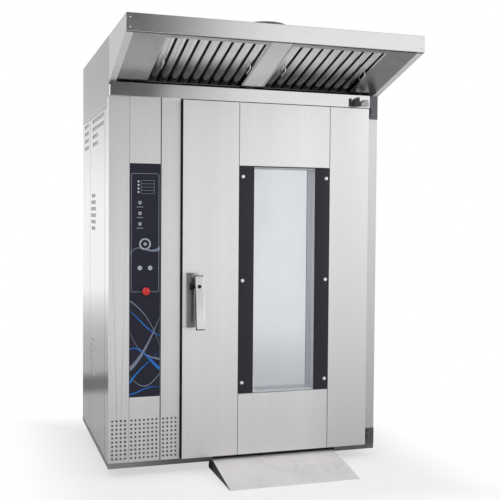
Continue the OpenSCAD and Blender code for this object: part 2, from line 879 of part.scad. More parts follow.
module damper_flap() {
    color(dark_steel) translate([flue_x, flue_y, damper_z]) {
        translate([0, 0, -1]) cylinder(r = flue_d / 2 - 4, h = 2);
        bar_x([-flue_d / 2 - 34, 0, 0], spindle_r, flue_d + 56);
        difference() {
            slab(-flue_d / 2 - 34, -flue_d / 2 - 28, -9, 9, -62, 9);
            bar_x([-flue_d, 0, -52], 3, flue_d);
        }
    }
}

// ----------------------------------------------------------------- drive
// Gear outline with straight-flanked teeth; play narrows each tooth
module gear_outline(teeth, m, play) {
    pitch_r = m * teeth / 2;
    root_r = pitch_r - 1.2 * m;
    tip_r = pitch_r + 0.8 * m;
    step = 360 / teeth;
    half = step / 4 - play / pitch_r * 28.65;
    flank = 1.0 * m / pitch_r * 57.3 * tan(20);
    points = [for (i = [0:teeth - 1], p = [
        [root_r, -half - flank * 1.2], [tip_r, flank - half],
        [tip_r, half - flank], [root_r, half + flank * 1.2]])
        [p[0] * cos(i * step + p[1]), p[0] * sin(i * step + p[1])]];
    polygon(points);
}

module drive_frame() {
    plate = 10;
    color(dark_steel) at_rack() {
        difference() {
            slab(-post_x - 30, actuator_x + 40, -70, gear_gap + 85, drive_z - plate, drive_z);
            bar_z([0, 0, drive_z - plate - 5], shaft_d / 2 + 4, plate + 10);
        }
        translate([0, 0, drive_z]) ring(shaft_d / 2 + 16, shaft_d / 2 + run, 18);
        for (s = [-1, 1])
            bar_z([s * post_x, 0, drive_z], post_r, yoke_z + yoke_h + lift + 14 - drive_z);
        difference() {
            bar_z([actuator_x, 0, drive_z], actuator_r, yoke_z - drive_z - 12);
            bar_z([actuator_x, 0, drive_z + 12], rod_r + run, yoke_z - drive_z);
        }
        for (x = [-70, 60])
            slab(x, x + 10, gear_gap - 36, gear_gap + 62, drive_z, pinion_z + pinion_h + 4);
    }
}

module gearmotor() {
    z0 = pinion_z + pinion_h + 4;
    box_h = 84;
    motor_z = z0 + box_h / 2 + 4;
    color([0.35, 0.42, 0.5]) at_rack() translate([0, gear_gap, 0]) {
        difference() {
            slab(-70, 70, -58, 70, z0, z0 + box_h);
            bar_z([0, 0, z0 - 1], 14 + run, 60);
        }
        bar_x([70, 6, motor_z], 42, 200);
        bar_x([70, 6, motor_z], 52, 10);
        for (i = [0:6]) bar_x([98 + i * 18, 6, motor_z], 50, 4);
        bar_x([238, 6, motor_z], 52, 34);
        slab(120, 190, -20, 32, motor_z + 30, motor_z + 62);
    }
}

module drive_pinion() {
    color(cast) at_rack() translate([0, gear_gap, pinion_z]) {
        rotate([0, 0, 180 / pinion_teeth - 90]) linear_extrude(height = pinion_h)
            gear_outline(pinion_teeth, gear_m, backlash);
        cylinder(r = 14, h = pinion_h + 54);
    }
}

module bearing_yoke() {
    color(dark_steel) at_rack() {
        difference() {
            union() {
                slab(-post_x, actuator_x, -22, 22, yoke_z, yoke_z + yoke_h);
                for (x = [-post_x, post_x]) bar_z([x, 0, yoke_z - 12], post_r + 12, yoke_h + 16);
                bar_z([0, 0, yoke_z - 8], 44, yoke_h + 8);
                bar_z([actuator_x, 0, yoke_z], 24, yoke_h);
            }
            for (x = [-post_x, post_x]) bar_z([x, 0, yoke_z - 20], post_r + run, yoke_h + 40);
            bar_z([0, 0, yoke_z - 20], shaft_d / 2 + run, yoke_h + 40);
        }
        bar_z([actuator_x, 0, drive_z + 34], rod_r, yoke_z - drive_z - 34);
    }
}

// Lifting shaft with its keyed gear, thrust collar and lower flange
module lift_shaft() {
    flange_z = cross_z + cross_tube + carrier_rise + 6;
    color(bright) at_rack() {
        bar_z([0, 0, flange_z], shaft_d / 2, yoke_z + yoke_h + 24 - flange_z);
        bar_z([0, 0, flange_z], 55, 10);
        translate([0, 0, yoke_z + yoke_h + fit]) cylinder(r = shaft_d / 2 + 14, h = 14);
    }
    color(cast) at_rack() translate([0, 0, gear_z]) {
        linear_extrude(height = gear_t) difference() {
            rotate([0, 0, 90]) gear_outline(gear_teeth, gear_m, 0);
            circle(r = shaft_d / 2);
            for (i = [0:5]) rotate([0, 0, i * 60]) translate([gear_r * 0.6, 0]) circle(r = gear_r * 0.17);
        }
        difference() {
            translate([0, 0, gear_t]) cylinder(r = shaft_d / 2 + 16, h = 14);
            translate([0, 0, gear_t - 1]) cylinder(r = shaft_d / 2, h = 16);
        }
    }
}

// Profile of a hook plate across Y and Z: open towards the door at each tube
module hook_outline() {
    top = cross_z + cross_tube + carrier_rise;
    stem = 16;
    lip = 14;
    reach = cross_tube / 2 + 6;
    difference() {
        union() {
            translate([-cross_gap / 2 - reach, cross_z + cross_tube + 24])
                square([cross_gap + 2 * reach + stem, top - cross_z - cross_tube - 24]);
            for (s = [-1, 1])
                translate([s * cross_gap / 2 - reach, cross_z - fit - lip])
                    square([2 * reach + stem, top - cross_z + lip + fit]);
        }
        for (s = [-1, 1])
            translate([s * cross_gap / 2 - reach - 1, cross_z - fit])
                square([reach + 1 + cross_tube / 2 + fit, cross_tube + 24 + fit]);
        for (s = [-1, 1])
            translate([s * cross_gap / 2 - reach, cross_z - fit - lip]) rotate([0, 0, 45])
                square([12, 12], center = true);
        for (s = [-1, 1])
            translate([s * (cross_gap / 4 - 8), (top + cross_z + cross_tube + 24) / 2]) circle(r = 10);
    }
}

module lift_carrier() {
    top = cross_z + cross_tube + carrier_rise;
    color(bright) at_rack() {
        for (x = [-46, 38]) translate([x, 0, 0]) rotate([90, 0, 90])
            linear_extrude(height = 8) hook_outline();
        slab(-46, 46, -cross_gap / 2, cross_gap / 2, top, top + 6);
    }
}

// ------------------------------------------------------------------ rack
// Square tube bent into an upside-down U, in Y and Z
module tube_outline() {
    wall = 2;
    difference() {
        square(tube);
        translate([wall, wall]) square(tube - 2 * wall);
    }
}

module bent_tube() {
    half = rack_d / 2;
    bend_z = rack_top - bend_r;
    for (s = [0, 1]) mirror([0, s, 0]) {
        translate([-tube / 2, half - tube, rack_bottom])
            linear_extrude(height = bend_z - rack_bottom) tube_outline();
        translate([0, half - bend_r, bend_z]) rotate([0, 0, 90]) rotate([90, 0, 0])
            rotate_extrude(angle = 90) translate([bend_r - tube, -tube / 2]) tube_outline();
    }
    tube_y(-tube / 2, tube / 2, bend_r - half, half - bend_r, rack_top - tube, rack_top, 2);
}

// One side frame: bent tube, sill and flat middle bar
module rack_side(s) {
    half = rack_d / 2;
    color(bright) at_rack() translate([s * (rack_w / 2 - tube / 2), 0, 0]) {
        bent_tube();
        tube_y(-tube / 2, tube / 2, tube - half, half - tube, rack_bottom, rack_bottom + tube, 2);
        mirror([s > 0 ? 0 : 1, 0, 0])
            slab(-tube / 2, 5 - tube / 2, -14, 14, rack_bottom + tube, rack_top - tube);
    }
}

module rack_frame_left() {
    rack_side(-1);
}

module rack_frame_right() {
    rack_side(1);
}

// Angle runners with their flanges on top, for the trays
module tray_runners() {
    half = rack_d / 2 - 4;
    runner_w = 30;
    runner_h = 20;
    runner_t = 2;
    inner = rack_w / 2 - tube - seam;
    color(bright) at_rack()
        for (s = [0, 1], k = [0:levels - 1]) mirror([s, 0, 0]) {
            z = floor_z + first_level + k * level_pitch;
            slab(inner - runner_t, inner, -half, half, z - runner_h, z);
            slab(inner - runner_w, inner, -half, half, z - runner_t, z);
        }
}

module rack_cross_tubes() {
    half = rack_w / 2 - tube;
    color(bright) at_rack()
        for (s = [-1, 1])
            tube_x(-half, half, s * cross_gap / 2 - cross_tube / 2,
                s * cross_gap / 2 + cross_tube / 2, cross_z, cross_z + cross_tube, 2);
}

// Base: front and rear tubes, inner beam, locating tongue, gusset, caster plates
module rack_base() {
    half_x = rack_w / 2 - tube - seam;
    half_y = rack_d / 2;
    z0 = rack_bottom;
    z1 = rack_bottom + tube;
    beam_y = 90 - half_y;
    color(bright) at_rack() {
        for (y = [-half_y, beam_y, half_y - tube]) tube_x(-half_x, half_x, y, y + tube, z0, z1, 2);
        slab(-40, 40, half_y - tube - 4 - seam, half_y - tube - seam, z0 - 80, z1);
        difference() {
            slab(half_x - 130, half_x, tube + seam - half_y, beam_y - seam, z0 + tube / 2, z0 + tube / 2 + 3);
            for (i = [0:2]) bar_z([half_x - 110 + i * 40, beam_y - 30, z0], 8, tube);
        }
        for (c = casters) translate([c[0] * caster_x, c[1] * caster_y, z0 - 4]) {
            translate([-52, -52, 0]) cube([104, 104, 4 - seam]);
            difference() {
                translate([0, 0, -raceway_h]) cylinder(r = 27, h = raceway_h);
                translate([0, 0, -raceway_h - 1]) cylinder(r = 8 + run, h = 12);
            }
        }
    }
}

// --------------------------------------------------------------- casters
module at_caster(i) {
    at_rack() translate([casters[i][0] * caster_x, casters[i][1] * caster_y, 0])
        rotate([0, 0, casters[i][2]]) children();
}

// Swivel fork with its kingpin and the wheel's axle
module caster_fork(i) {
    leg = 3;
    gap = wheel_w / 2 + 2.5;
    axle_z = floor_z + fit + wheel_d / 2;
    top = crown_z - fit;
    color(steel) at_caster(i) {
        bar_z([0, 0, top - 6], 26, 6);
        bar_z([0, 0, top - 1], 8, 11);
        bar_z([0, 0, top - 12], 14, 8);
        slab(-26, trail + 12, -gap - leg, gap + leg, top - 9, top - 6);
        for (s = [0, 1]) mirror([0, s, 0]) translate([0, gap + leg, 0]) rotate([90, 0, 0])
            linear_extrude(height = leg) difference() {
                polygon([[-26, top - 6], [trail + 12, top - 6], [trail + 14, axle_z],
                    [trail + 8, axle_z - 13], [trail - 8, axle_z - 13], [trail - 14, axle_z]]);
                translate([trail, axle_z]) circle(r = 5);
            }
        bar_y([trail, -gap - leg - 5, axle_z], 5, 2 * (gap + leg + 5));
        for (y = [-gap - leg - 4, gap + leg])
            translate([trail, y, axle_z]) rotate([-90, 0, 0]) cylinder(r = 9, h = 4, $fn = 6);
    }
}

// Wheel with a tread, dished web and a hub running on the axle
module caster_wheel(i) {
    axle_z = floor_z + fit + wheel_d / 2;
    color(black) at_caster(i) translate([trail, 0, axle_z]) rotate([90, 0, 0])
        rotate_extrude() polygon([
            [5 + run, -wheel_w / 2 - 1], [14, -wheel_w / 2 - 1], [14, -wheel_w / 2 + 7],
            [wheel_d / 2 - 14, -wheel_w / 2 + 7], [wheel_d / 2 - 12, -wheel_w / 2],
            [wheel_d / 2 - 3, -wheel_w / 2], [wheel_d / 2, -wheel_w / 2 + 5],
            [wheel_d / 2, wheel_w / 2 - 5], [wheel_d / 2 - 3, wheel_w / 2],
            [wheel_d / 2 - 12, wheel_w / 2], [wheel_d / 2 - 14, wheel_w / 2 - 7],
            [14, wheel_w / 2 - 7], [14, wheel_w / 2 + 1], [5 + run, wheel_w / 2 + 1]]);
}

module caster_fork_1() { caster_fork(0); }
module caster_fork_2() { caster_fork(1); }
module caster_fork_3() { caster_fork(2); }
module caster_fork_4() { caster_fork(3); }
module caster_wheel_1() { caster_wheel(0); }
module caster_wheel_2() { caster_wheel(1); }
module caster_wheel_3() { caster_wheel(2); }
module caster_wheel_4() { caster_wheel(3); }

// ------------------------------------------------------------------ door
// Front skins: left, over the window, under the window, right
module door_skins() {
    y0 = -door_proud;
    gap = skin_gap;
    fold = 14;
    plates = [
        [door_x0, window_x0 - gap, door_z0, door_z1],
        [window_x0 + gap, window_x1 - gap, window_z1 + gap, door_z1],
        [window_x0 + gap, window_x1 - gap, door_z0, window_z0 - gap],
        [window_x1 + gap, door_x1, door_z0, door_z1]];
    color(bright) for (p = plates) difference() {
        slab(p[0], p[1], y0, y0 + fold, p[2], p[3]);
        slab(p[0] + sheet, p[1] - sheet, y0 + sheet, y0 + fold + 1, p[2] + sheet, p[3] - sheet);
        for (z = knuckle_z)
            slab(door_x1 - 3, door_x1 + 1, hinge_y - 5, y0 + fold + 1, z - 1, z + hinge_h + 1);
    }
}

// Outline of the insulated leaf, shrunk by w all round, with the window tunnel
module door_leaf(w) {
    y0 = -door_proud + sheet + w;
    y1 = -door_proud + sheet + 13 + w;
    inset = sheet + fit + w;
    in_x = [door_x0 + inset, window_x0 - skin_gap - inset, window_x0 + skin_gap + inset];
    out_x = [window_x1 - skin_gap - inset, window_x1 + skin_gap + inset, door_x1 - inset];
    difference() {
        union() {
            slab(door_x0 + w, door_x1 - w, y1, door_back - w, door_z0 + w, door_z1 - w);
            slab(in_x[0], in_x[1], y0, y1, door_z0 + inset, door_z1 - inset);
            slab(out_x[1], out_x[2], y0, y1, door_z0 + inset, door_z1 - inset);
            slab(in_x[2], out_x[0], y0, y1, window_z1 + skin_gap + inset, door_z1 - inset);
            slab(in_x[2], out_x[0], y0, y1, door_z0 + inset, window_z0 - skin_gap - inset);
            if (w == 0)
                slab(window_x0, window_x1, glass_y + glass_t + seam, y1, window_z0, window_z1);
        }
        slab(window_x0 + clamp_w - w, window_x1 - clamp_w + w, -door_proud - 1, door_back + 1,
            window_z0 + 12 - w, window_z1 - 12 + w);
        slab(window_x0 + clamp_w - 14 - w, window_x1 - clamp_w + 14 + w, inner_glass_y - seam - w,
            door_back + 1, window_z0 - w, window_z1 + w);
        if (w > 0) {
            bar_x([door_x0 - 1, bolt_y, bolt_z], 8 + w, bore_l + 1 + w);
            for (z = knuckle_z) slab(door_x1 - 22, door_x1, -door_proud, y1, z - w, z + hinge_h + w);
        }
    }
}

// Folded steel leaf behind the skins, with the hinge knuckles
module door_pan() {
    color(steel) difference() {
        union() {
            door_leaf(0);
            for (z = knuckle_z) {
                bar_z([hinge_x, hinge_y, z], knuckle_r, hinge_h);
                slab(door_x1 - 20, hinge_x, hinge_y - 4, hinge_y + 5, z, z + hinge_h);
            }
        }
        door_leaf(pan_t);
        for (z = knuckle_z) bar_z([hinge_x, hinge_y, z - 1], hinge_pin_r + run, hinge_h + 2);
        bar_x([door_x0 - 1, bolt_y, bolt_z], 8 + run, bore_l + 1);
    }
}

// Mineral wool that fills the leaf
module door_wool() {
    color(wool) door_leaf(pan_t + seam);
}

// Outer pane behind the clamp strips, and inner pane at the back
module door_glass() {
    x0 = window_x0 + clamp_w - 12;
    x1 = window_x1 - clamp_w + 12;
    color(glass) {
        slab(window_x0 + 0.5, window_x1 - 0.5, glass_y, glass_y + glass_t,
            window_z0 + 0.5, window_z1 - 0.5);
        slab(x0, x1, inner_glass_y, inner_glass_y + glass_t, window_z0 + 2, window_z1 - 2);
    }
}

// Black strips that clamp the outer pane, with their cap screws
module window_clamps() {
    y0 = -door_proud;
    color(black)
        slab(window_x0 + clamp_w + fit, window_x1 - clamp_w - fit, y0 + 1, glass_y - seam,
            window_z1 - 4, window_z1);
    for (s = [0, 1]) {
        x0 = s == 0 ? window_x0 + 0.5 : window_x1 - clamp_w;
        screw_x = s == 0 ? window_x0 + 22 : window_x1 - 20;
        color(black) slab(x0, x0 + clamp_w - 0.5, y0, glass_y - seam, window_z0, window_z1);
        color(bright) for (z = [window_z0 + 59, (window_z0 + window_z1) / 2 - 2, window_z1 - 57])
            translate([screw_x, y0, z]) rotate([90, 0, 0]) {
                cylinder(r = 8, h = 2);
                translate([0, 0, 2]) cylinder(r = 5.5, h = 4);
            }
    }
}

// Woven seal round the door's back, and the sweep under its lower edge
module door_seal() {
    w = 14;
    inset = 4;
    x0 = door_x0 + inset;
    x1 = door_x1 - inset;
    z1 = door_z1 - inset;
    color(black) {
        slab(x0, x0 + w, door_back, door_back + seal_t, door_z0, z1);
        slab(x1 - w, x1, door_back, door_back + seal_t, door_z0, z1);
        slab(x0 + w + seam, x1 - w - seam, door_back, door_back + seal_t, z1 - w, z1);
        slab(ramp_x + 4, ramp_x + ramp_w - 4, door_back - 30, door_back - 22, floor_z + 2, door_z0);
    }
}

// Fixed hinge plates with the lugs and pins that carry the knuckles, and keeper
module door_hardware() {
    keeper_x1 = inner_x + inner_w - sheet - fit;
    plate_t = 4;
    lug = 14;
    color(dark_steel)
        for (top = [0, 1]) {
            z0 = knuckle_z[top];
            plate_z0 = top == 1 ? z0 - lug - 16 : base_top;
            plate_z1 = top == 1 ? rail_z1 : z0 + hinge_h + lug + 16;
            slab(body_w - jamb_w, body_w, -plate_t, 0, plate_z0, plate_z1);
            for (z = [z0 - lug - 0.5, z0 + hinge_h + 0.5]) {
                bar_z([hinge_x, hinge_y, z], knuckle_r, lug);
                slab(hinge_x - knuckle_r, hinge_x + knuckle_r, hinge_y, -plate_t, z, z + lug);
            }
            bar_z([hinge_x, hinge_y, z0 - lug - 0.5], hinge_pin_r, hinge_h + 2 * lug + 1);
        }
    color(black)
        bar_y([hinge_x + knuckle_r + 9, -plate_t - 3, knuckle_z[1] + hinge_h * 0.7], 6, 3);
    color(dark_steel) difference() {
        slab(keeper_x1 - 26, keeper_x1, bolt_y - 15, bolt_y + 24, bolt_z - 40, bolt_z + 40);
        bar_x([keeper_x1 - 20, bolt_y, bolt_z], 8.6, 30);
    }
}

// ---------------------------------------------------------------- handle
module handle_base() {
    y1 = -door_proud;
    color(steel) translate([handle_x0, 0, handle_z]) linear_extrude(height = handle_h)
        polygon([[0, y1], [0, y1 - 3], [16, y1 - 3], [24, y1 - base_t], [base_w - 6, y1 - base_t],
            [base_w, y1 - base_t + 6], [base_w, y1]]);
    color(black) difference() {
        slab(pivot_x - 20, pivot_x - 4, pivot_y - 9, y1 - base_t, pivot_z - 16, pivot_z + 16);
        bar_x([pivot_x - 30, pivot_y, pivot_z], 5 + run, 40);
    }
}

// Channel lever with two ears on its pivot pin, leaning out at its lower end
module handle_lever() {
    wall = 2;
    depth = 18;
    top = 58;
    color(bright) translate([pivot_x, pivot_y, pivot_z]) rotate([-lever_lean, 0, 0]) {
        difference() {
            slab(0, lever_w, -depth, -1, top - lever_l, top);
            slab(wall, lever_w - wall, wall - depth, 0, top + wall - lever_l, top - wall);
        }
        for (x = [0, lever_w - wall]) bar_x([x, 0, 0], 9, wall);
    }
    color(black) translate([pivot_x, pivot_y, pivot_z]) {
        bar_x([-19, 0, 0], 5, lever_w + 21);
        rotate([-lever_lean, 0, 0]) translate([lever_w / 2, -depth - 3, 0]) rotate([-90, 0, 0])
            cylinder(r = 10, h = 4);
    }
}

// Bolt withdrawn into the door; it enters the keeper as the lever is pressed home
module latch_bolt() {
    color(dark_steel) bar_x([door_x0 + 1, bolt_y, bolt_z], 8, bore_l - bolt_throw - 3);
}

// -------------------------------------------------------------- controls
// Rounded badge standing on the overlay, in X and Z
module pill(x, z, w, h, t) {
    translate([x, overlay_y, z]) rotate([90, 0, 0]) linear_extrude(height = t) {
        square([w - h, h], center = true);
        for (s = [-1, 1]) translate([s * (w - h) / 2, 0]) circle(d = h);
    }
}

module control_overlay() {
    z0 = overlay_z;
    z1 = overlay_z + overlay_h;
    x0 = control_x + 1;
    x1 = control_x + control_w - 1;
    color(navy) difference() {
        slab(x0, x1, overlay_y, 0, z0, z1);
        for (x = [start_x, stop_x]) bar_y([x, overlay_y - 1, buttons_z], button_d / 2 + 0.5, overlay_t + 2);
        bar_y([emergency_x, overlay_y - 1, emergency_z], 10.5, overlay_t + 2);
    }
    color(bright) {
        for (k = [0:3]) translate([key_x - 8, overlay_y, lamp_z - 18.3 * k]) rotate([90, 0, 0])
            cylinder(r = 4, h = 2);
        for (k = [0:2]) {
            z = overlay_z + 1016 - 55 * k;
            translate([key_x, overlay_y, z]) rotate([90, 0, 0]) ring(8, 5, 1.5);
            pill(key_x, z - 22, 34, 13, 1);
        }
        for (x = [start_x, stop_x])
            translate([x, overlay_y, buttons_z]) rotate([90, 0, 0])
                ring(button_d / 2 + 3.5, button_d / 2 + 0.5, 2);
        translate([control_x + 80, overlay_y, ring_z]) rotate([90, 0, 0]) {
            difference() {
                ring(31, 22, 2);
                for (a = [0, 90]) rotate([0, 0, a + 45]) cube([80, 5, 8], center = true);
            }
            ring(9, 5, 1.5);
        }
        translate([emergency_x, overlay_y, emergency_z]) rotate([90, 0, 0]) ring(18, 10.5, 4);
    }
    // Electronics case on four pillars behind the column
    color(dark_steel) {
        for (x = [x0 + 18, x1 - 18], z = [buttons_z - 300, buttons_z + 300])
            bar_y([x, sheet, z], 5, 14 - sheet);
        slab(x0 + 8, x1 - 28, 14, front_y - 3, buttons_z - 320, buttons_z + 320);
    }
}

// Push button whose stem runs in the panel
module push_button(x) {
    color(steel) {
        bar_y([x, overlay_y - 5, buttons_z], button_d / 2, 5 + overlay_t - fit);
        bar_y([x, -1, buttons_z], 4, 10);
    }
}

module start_button() { push_button(start_x); }
module stop_button() { push_button(stop_x); }

// Mushroom head on its stem
module emergency_button() {
    color(red) translate([emergency_x, overlay_y - 10, emergency_z]) rotate([90, 0, 0])
        rotate_extrude() polygon([[0, -18], [10, -18], [10, 0], [emergency_d / 2 - 2, 0],
            [emergency_d / 2, 2], [emergency_d / 2, 7], [emergency_d / 2 - 2.5, 10],
            [emergency_d / 2 - 8, 12.5], [0, 14]]);
}

// Door switch: bracket and body under a bright cover, and its cam case
module door_switch() {
    x0 = body_w - jamb_w - 124;
    y1 = -rail_proud;
    z0 = rail_z0 + 4;
    color(dark_steel) {
        slab(x0, x0 + 9, y1 - 10, y1, z0, z0 + 44);
        translate([x0 + 20, y1, z0]) rotate([90, 0, 0]) linear_extrude(height = 30)
            polygon([[0, 0], [0, 34], [20, 50], [28, 50], [36, 10], [36, 0]]);
    }
    color(steel) translate([x0 + 64, y1, z0 + 4]) rotate([90, 0, 0]) difference() {
        linear_extrude(height = 22)
            polygon([[0, 0], [0, 12], [16, 34], [38, 37], [46, 12], [44, 0]]);
        translate([18, 24, 16]) cylinder(r = 3.5, h = 10, $fn = 24);
    }
}

// ------------------------------------------------------------------ ramp
module ramp() {
    top = floor_z - 2;
    color(bright) {
        translate([ramp_x, 0, 0]) rotate([90, 0, 90]) linear_extrude(height = ramp_w)
            polygon([[-ramp_out, 0], [-ramp_lip, top - ramp_t], [front_y + liner - fit, top - ramp_t],
                [front_y + liner - fit, top], [-ramp_lip, top], [-ramp_out, ramp_t]]);
    }
    color(dark_steel) for (x = [ramp_x, ramp_x + ramp_w - 4])
        translate([x, 0, 0]) rotate([90, 0, 90]) linear_extrude(height = 4)
            polygon([[-ramp_out + 15, 0], [-ramp_lip, 0], [80, 0], [80, 20],
                [front_y - fit, top - ramp_t], [-ramp_lip, top - ramp_t],
                [-ramp_out + 15, (top - ramp_t) * 15 / (ramp_out - ramp_lip)]]);
}

// Cable gland in the recess behind the cabinet, and drain under the duct
module service_fittings() {
    y0 = body_d - back_recess;
    color(black) difference() {
        union() {
            bar_y([gland_x, y0 - sheet - 6, gland_z], 16, sheet + 6);
            translate([gland_x, y0, gland_z]) rotate([-90, 0, 0]) cylinder(r = 22, h = 7, $fn = 6);
            bar_y([gland_x, y0 + 7, gland_z], 17, 15);
        }
        bar_y([gland_x, y0 - 20, gland_z], 9, 60);
    }
    color(steel) difference() {
        union() {
            bar_z([drain_x, drain_y, 12], drain_r, floor_z - 12);
            bar_z([drain_x, drain_y, foot_h - 3], drain_r + 10, 3 - seam);
        }
        bar_z([drain_x, drain_y, 11], drain_r - 2.5, floor_z);
    }
}

// ---------------------------------------------------------------- output
at_cabinet() base_frame();
at_cabinet() levelling_feet();
at_cabinet() left_post();
at_cabinet() control_column();
at_cabinet() inner_column();
at_cabinet() right_jamb();
at_cabinet() left_side_panels();
at_cabinet() right_side_panel();
at_cabinet() back_panel();
at_cabinet() header_rail();
at_cabinet() hood_canopy();
at_cabinet() hood_soffit();
at_cabinet() duct_collar();
at_cabinet() filter_left();
at_cabinet() filter_right();
at_cabinet() oven_chamber();
at_cabinet() air_wall();
at_cabinet() insulation();
at_cabinet() heating_elements();
at_cabinet() fan_motor();
at_cabinet() circulation_fan();
at_cabinet() humidifier();
at_cabinet() steam_flue();
at_cabinet() damper_flap();
at_cabinet() drive_frame();
at_cabinet() gearmotor();
at_cabinet() drive_pinion();
at_cabinet() bearing_yoke();
at_cabinet() lift_shaft();
at_cabinet() lift_carrier();
at_cabinet() rack_frame_left();
at_cabinet() rack_frame_right();
at_cabinet() tray_runners();
at_cabinet() rack_cross_tubes();
at_cabinet() rack_base();
at_cabinet() caster_fork_1();
at_cabinet() caster_fork_2();
at_cabinet() caster_fork_3();
at_cabinet() caster_fork_4();
at_cabinet() caster_wheel_1();
at_cabinet() caster_wheel_2();
at_cabinet() caster_wheel_3();
at_cabinet() caster_wheel_4();
at_cabinet() door_skins();
at_cabinet() door_pan();
at_cabinet() door_wool();
at_cabinet() door_glass();
at_cabinet() window_clamps();
at_cabinet() door_seal();
at_cabinet() door_hardware();
at_cabinet() handle_base();
at_cabinet() handle_lever();
at_cabinet() latch_bolt();
at_cabinet() control_overlay();
at_cabinet() start_button();
at_cabinet() stop_button();
at_cabinet() emergency_button();
at_cabinet() door_switch();
at_cabinet() ramp();
at_cabinet() service_fittings();
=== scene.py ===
"""Looks of the rotating rack oven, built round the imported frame.

The file is laid out as a Blender add-on: property groups hold the sizes and
colours, one operator builds each group of pieces, and main() calls them all.
Shapes are numpy grids in the frame's own metres, so every object sits at the
origin with its place in its mesh.
"""

import json
import math

import bmesh
import bpy
import numpy as np
from mathutils import Matrix, Vector


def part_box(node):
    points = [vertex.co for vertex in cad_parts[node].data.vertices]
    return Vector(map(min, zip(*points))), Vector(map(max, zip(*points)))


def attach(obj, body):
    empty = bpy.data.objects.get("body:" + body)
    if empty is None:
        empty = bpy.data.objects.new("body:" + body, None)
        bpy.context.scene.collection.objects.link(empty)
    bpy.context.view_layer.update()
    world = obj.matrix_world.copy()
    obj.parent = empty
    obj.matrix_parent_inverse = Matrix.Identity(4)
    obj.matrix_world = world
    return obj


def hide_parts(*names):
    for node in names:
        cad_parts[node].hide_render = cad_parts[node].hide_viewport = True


bl_info = {
    "name": "Rotating rack oven",
    "version": (1, 0, 0),
    "blender": (4, 5, 0),
    "location": "View3D > Sidebar > Oven",
    "description": "Builds the finishes and small pieces of a rotating rack oven",
    "category": "Object",
}

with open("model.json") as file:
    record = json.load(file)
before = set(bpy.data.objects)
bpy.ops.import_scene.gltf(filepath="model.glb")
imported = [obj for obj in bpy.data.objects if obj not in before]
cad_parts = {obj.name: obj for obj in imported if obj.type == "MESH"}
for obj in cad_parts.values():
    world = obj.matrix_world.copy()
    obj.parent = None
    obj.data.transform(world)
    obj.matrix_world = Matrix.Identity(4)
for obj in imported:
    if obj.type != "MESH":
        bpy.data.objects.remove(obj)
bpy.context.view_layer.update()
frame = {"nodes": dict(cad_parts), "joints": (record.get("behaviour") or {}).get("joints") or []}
NODES = frame["nodes"]
MM = 0.001
ORIGIN, FORWARD, ACROSS = [0.0, 0.0, 0.0], [0.0, -1.0, 0.0], [1.0, 0.0, 0.0]
BELOW, ABOVE = "LESS_THAN", "GREATER_THAN"
WHITE, BLACK = (1.0, 1.0, 1.0, 1.0), (0.0, 0.0, 0.0, 1.0)


def corners(node):
    """Lowest and highest corner of a CAD node as two numpy arrays."""
    lo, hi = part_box(node)
    return np.array(lo), np.array(hi)


def joint(name):
    """Place and axis of a joint as two numpy arrays."""
    found = next(j for j in frame["joints"] if j["name"] == name)
    return np.array(found["pos_m"]), np.array(found["axis"])


# --------------------------------------------------------------- grid shapes
def grid_faces(rows, cols, closed_rows=False, closed_cols=False):
    """Quads (i, j), (i+1, j), (i+1, j+1), (i, j+1) over a rows by cols grid."""
    i = np.arange(rows if closed_rows else rows - 1)
    j = np.arange(cols if closed_cols else cols - 1)
    i, j = np.meshgrid(i, j, indexing="ij")
    n, m = (i + 1) % rows, (j + 1) % cols
    quads = np.stack([i * cols + j, n * cols + j, n * cols + m, i * cols + m], -1)
    return quads.reshape(-1, 4)


def cap_faces(start, count):
    """Quads that close a ring of count points, numbered from start, between its two halves."""
    k = np.arange(count // 2 - 1)
    return start + np.stack([k, k + 1, count - 2 - k, count - 1 - k], -1)


def capped_tube(rings):
    """Closed shell through rings of points, given as (rows, cols, 3), with capped ends."""
    rows, cols = rings.shape[:2]
    end = cap_faces(0, cols)
    faces = [grid_faces(rows, cols, closed_cols=True), end, (end + (rows - 1) * cols)[:, ::-1]]
    return rings.reshape(-1, 3), np.concatenate(faces)


def lathe(profile, origin, axis=FORWARD, turns=48):
    """Surface of revolution: a profile (r, h) is carried round an axis.

    p(a, k) = origin + h_k * axis + r_k * (cos a * e1 + sin a * e2).
    """
    profile = np.asarray(profile, float)
    w = np.asarray(axis, float) / np.linalg.norm(axis)
    e1 = np.cross(w, [0.0, 0.0, 1.0] if abs(w[2]) < 0.9 else [1.0, 0.0, 0.0])
    e1 /= np.linalg.norm(e1)
    e2 = np.cross(w, e1)
    a = np.linspace(0, 2 * np.pi, turns, endpoint=False)[:, None, None]
    r, h = profile[None, :, :1], profile[None, :, 1:]
    verts = np.asarray(origin) + h * w + r * (np.cos(a) * e1 + np.sin(a) * e2)
    return verts.reshape(-1, 3), grid_faces(turns, len(profile), closed_rows=True)


def cylinder(radius, length):
    """Profile of a plain cylinder."""
    return [[0, 0], [radius, 0], [radius, length], [0, length]]


def quarter_turns(steps):
    """Angles of four quarter circles in turn, and the signs of each one's corner."""
    quarter = np.linspace(0, np.pi / 2, steps + 1)
    angle = np.concatenate([quarter + q * np.pi / 2 for q in range(4)])
    return angle, np.repeat([1, -1, -1, 1], steps + 1), np.repeat([1, 1, -1, -1], steps + 1)


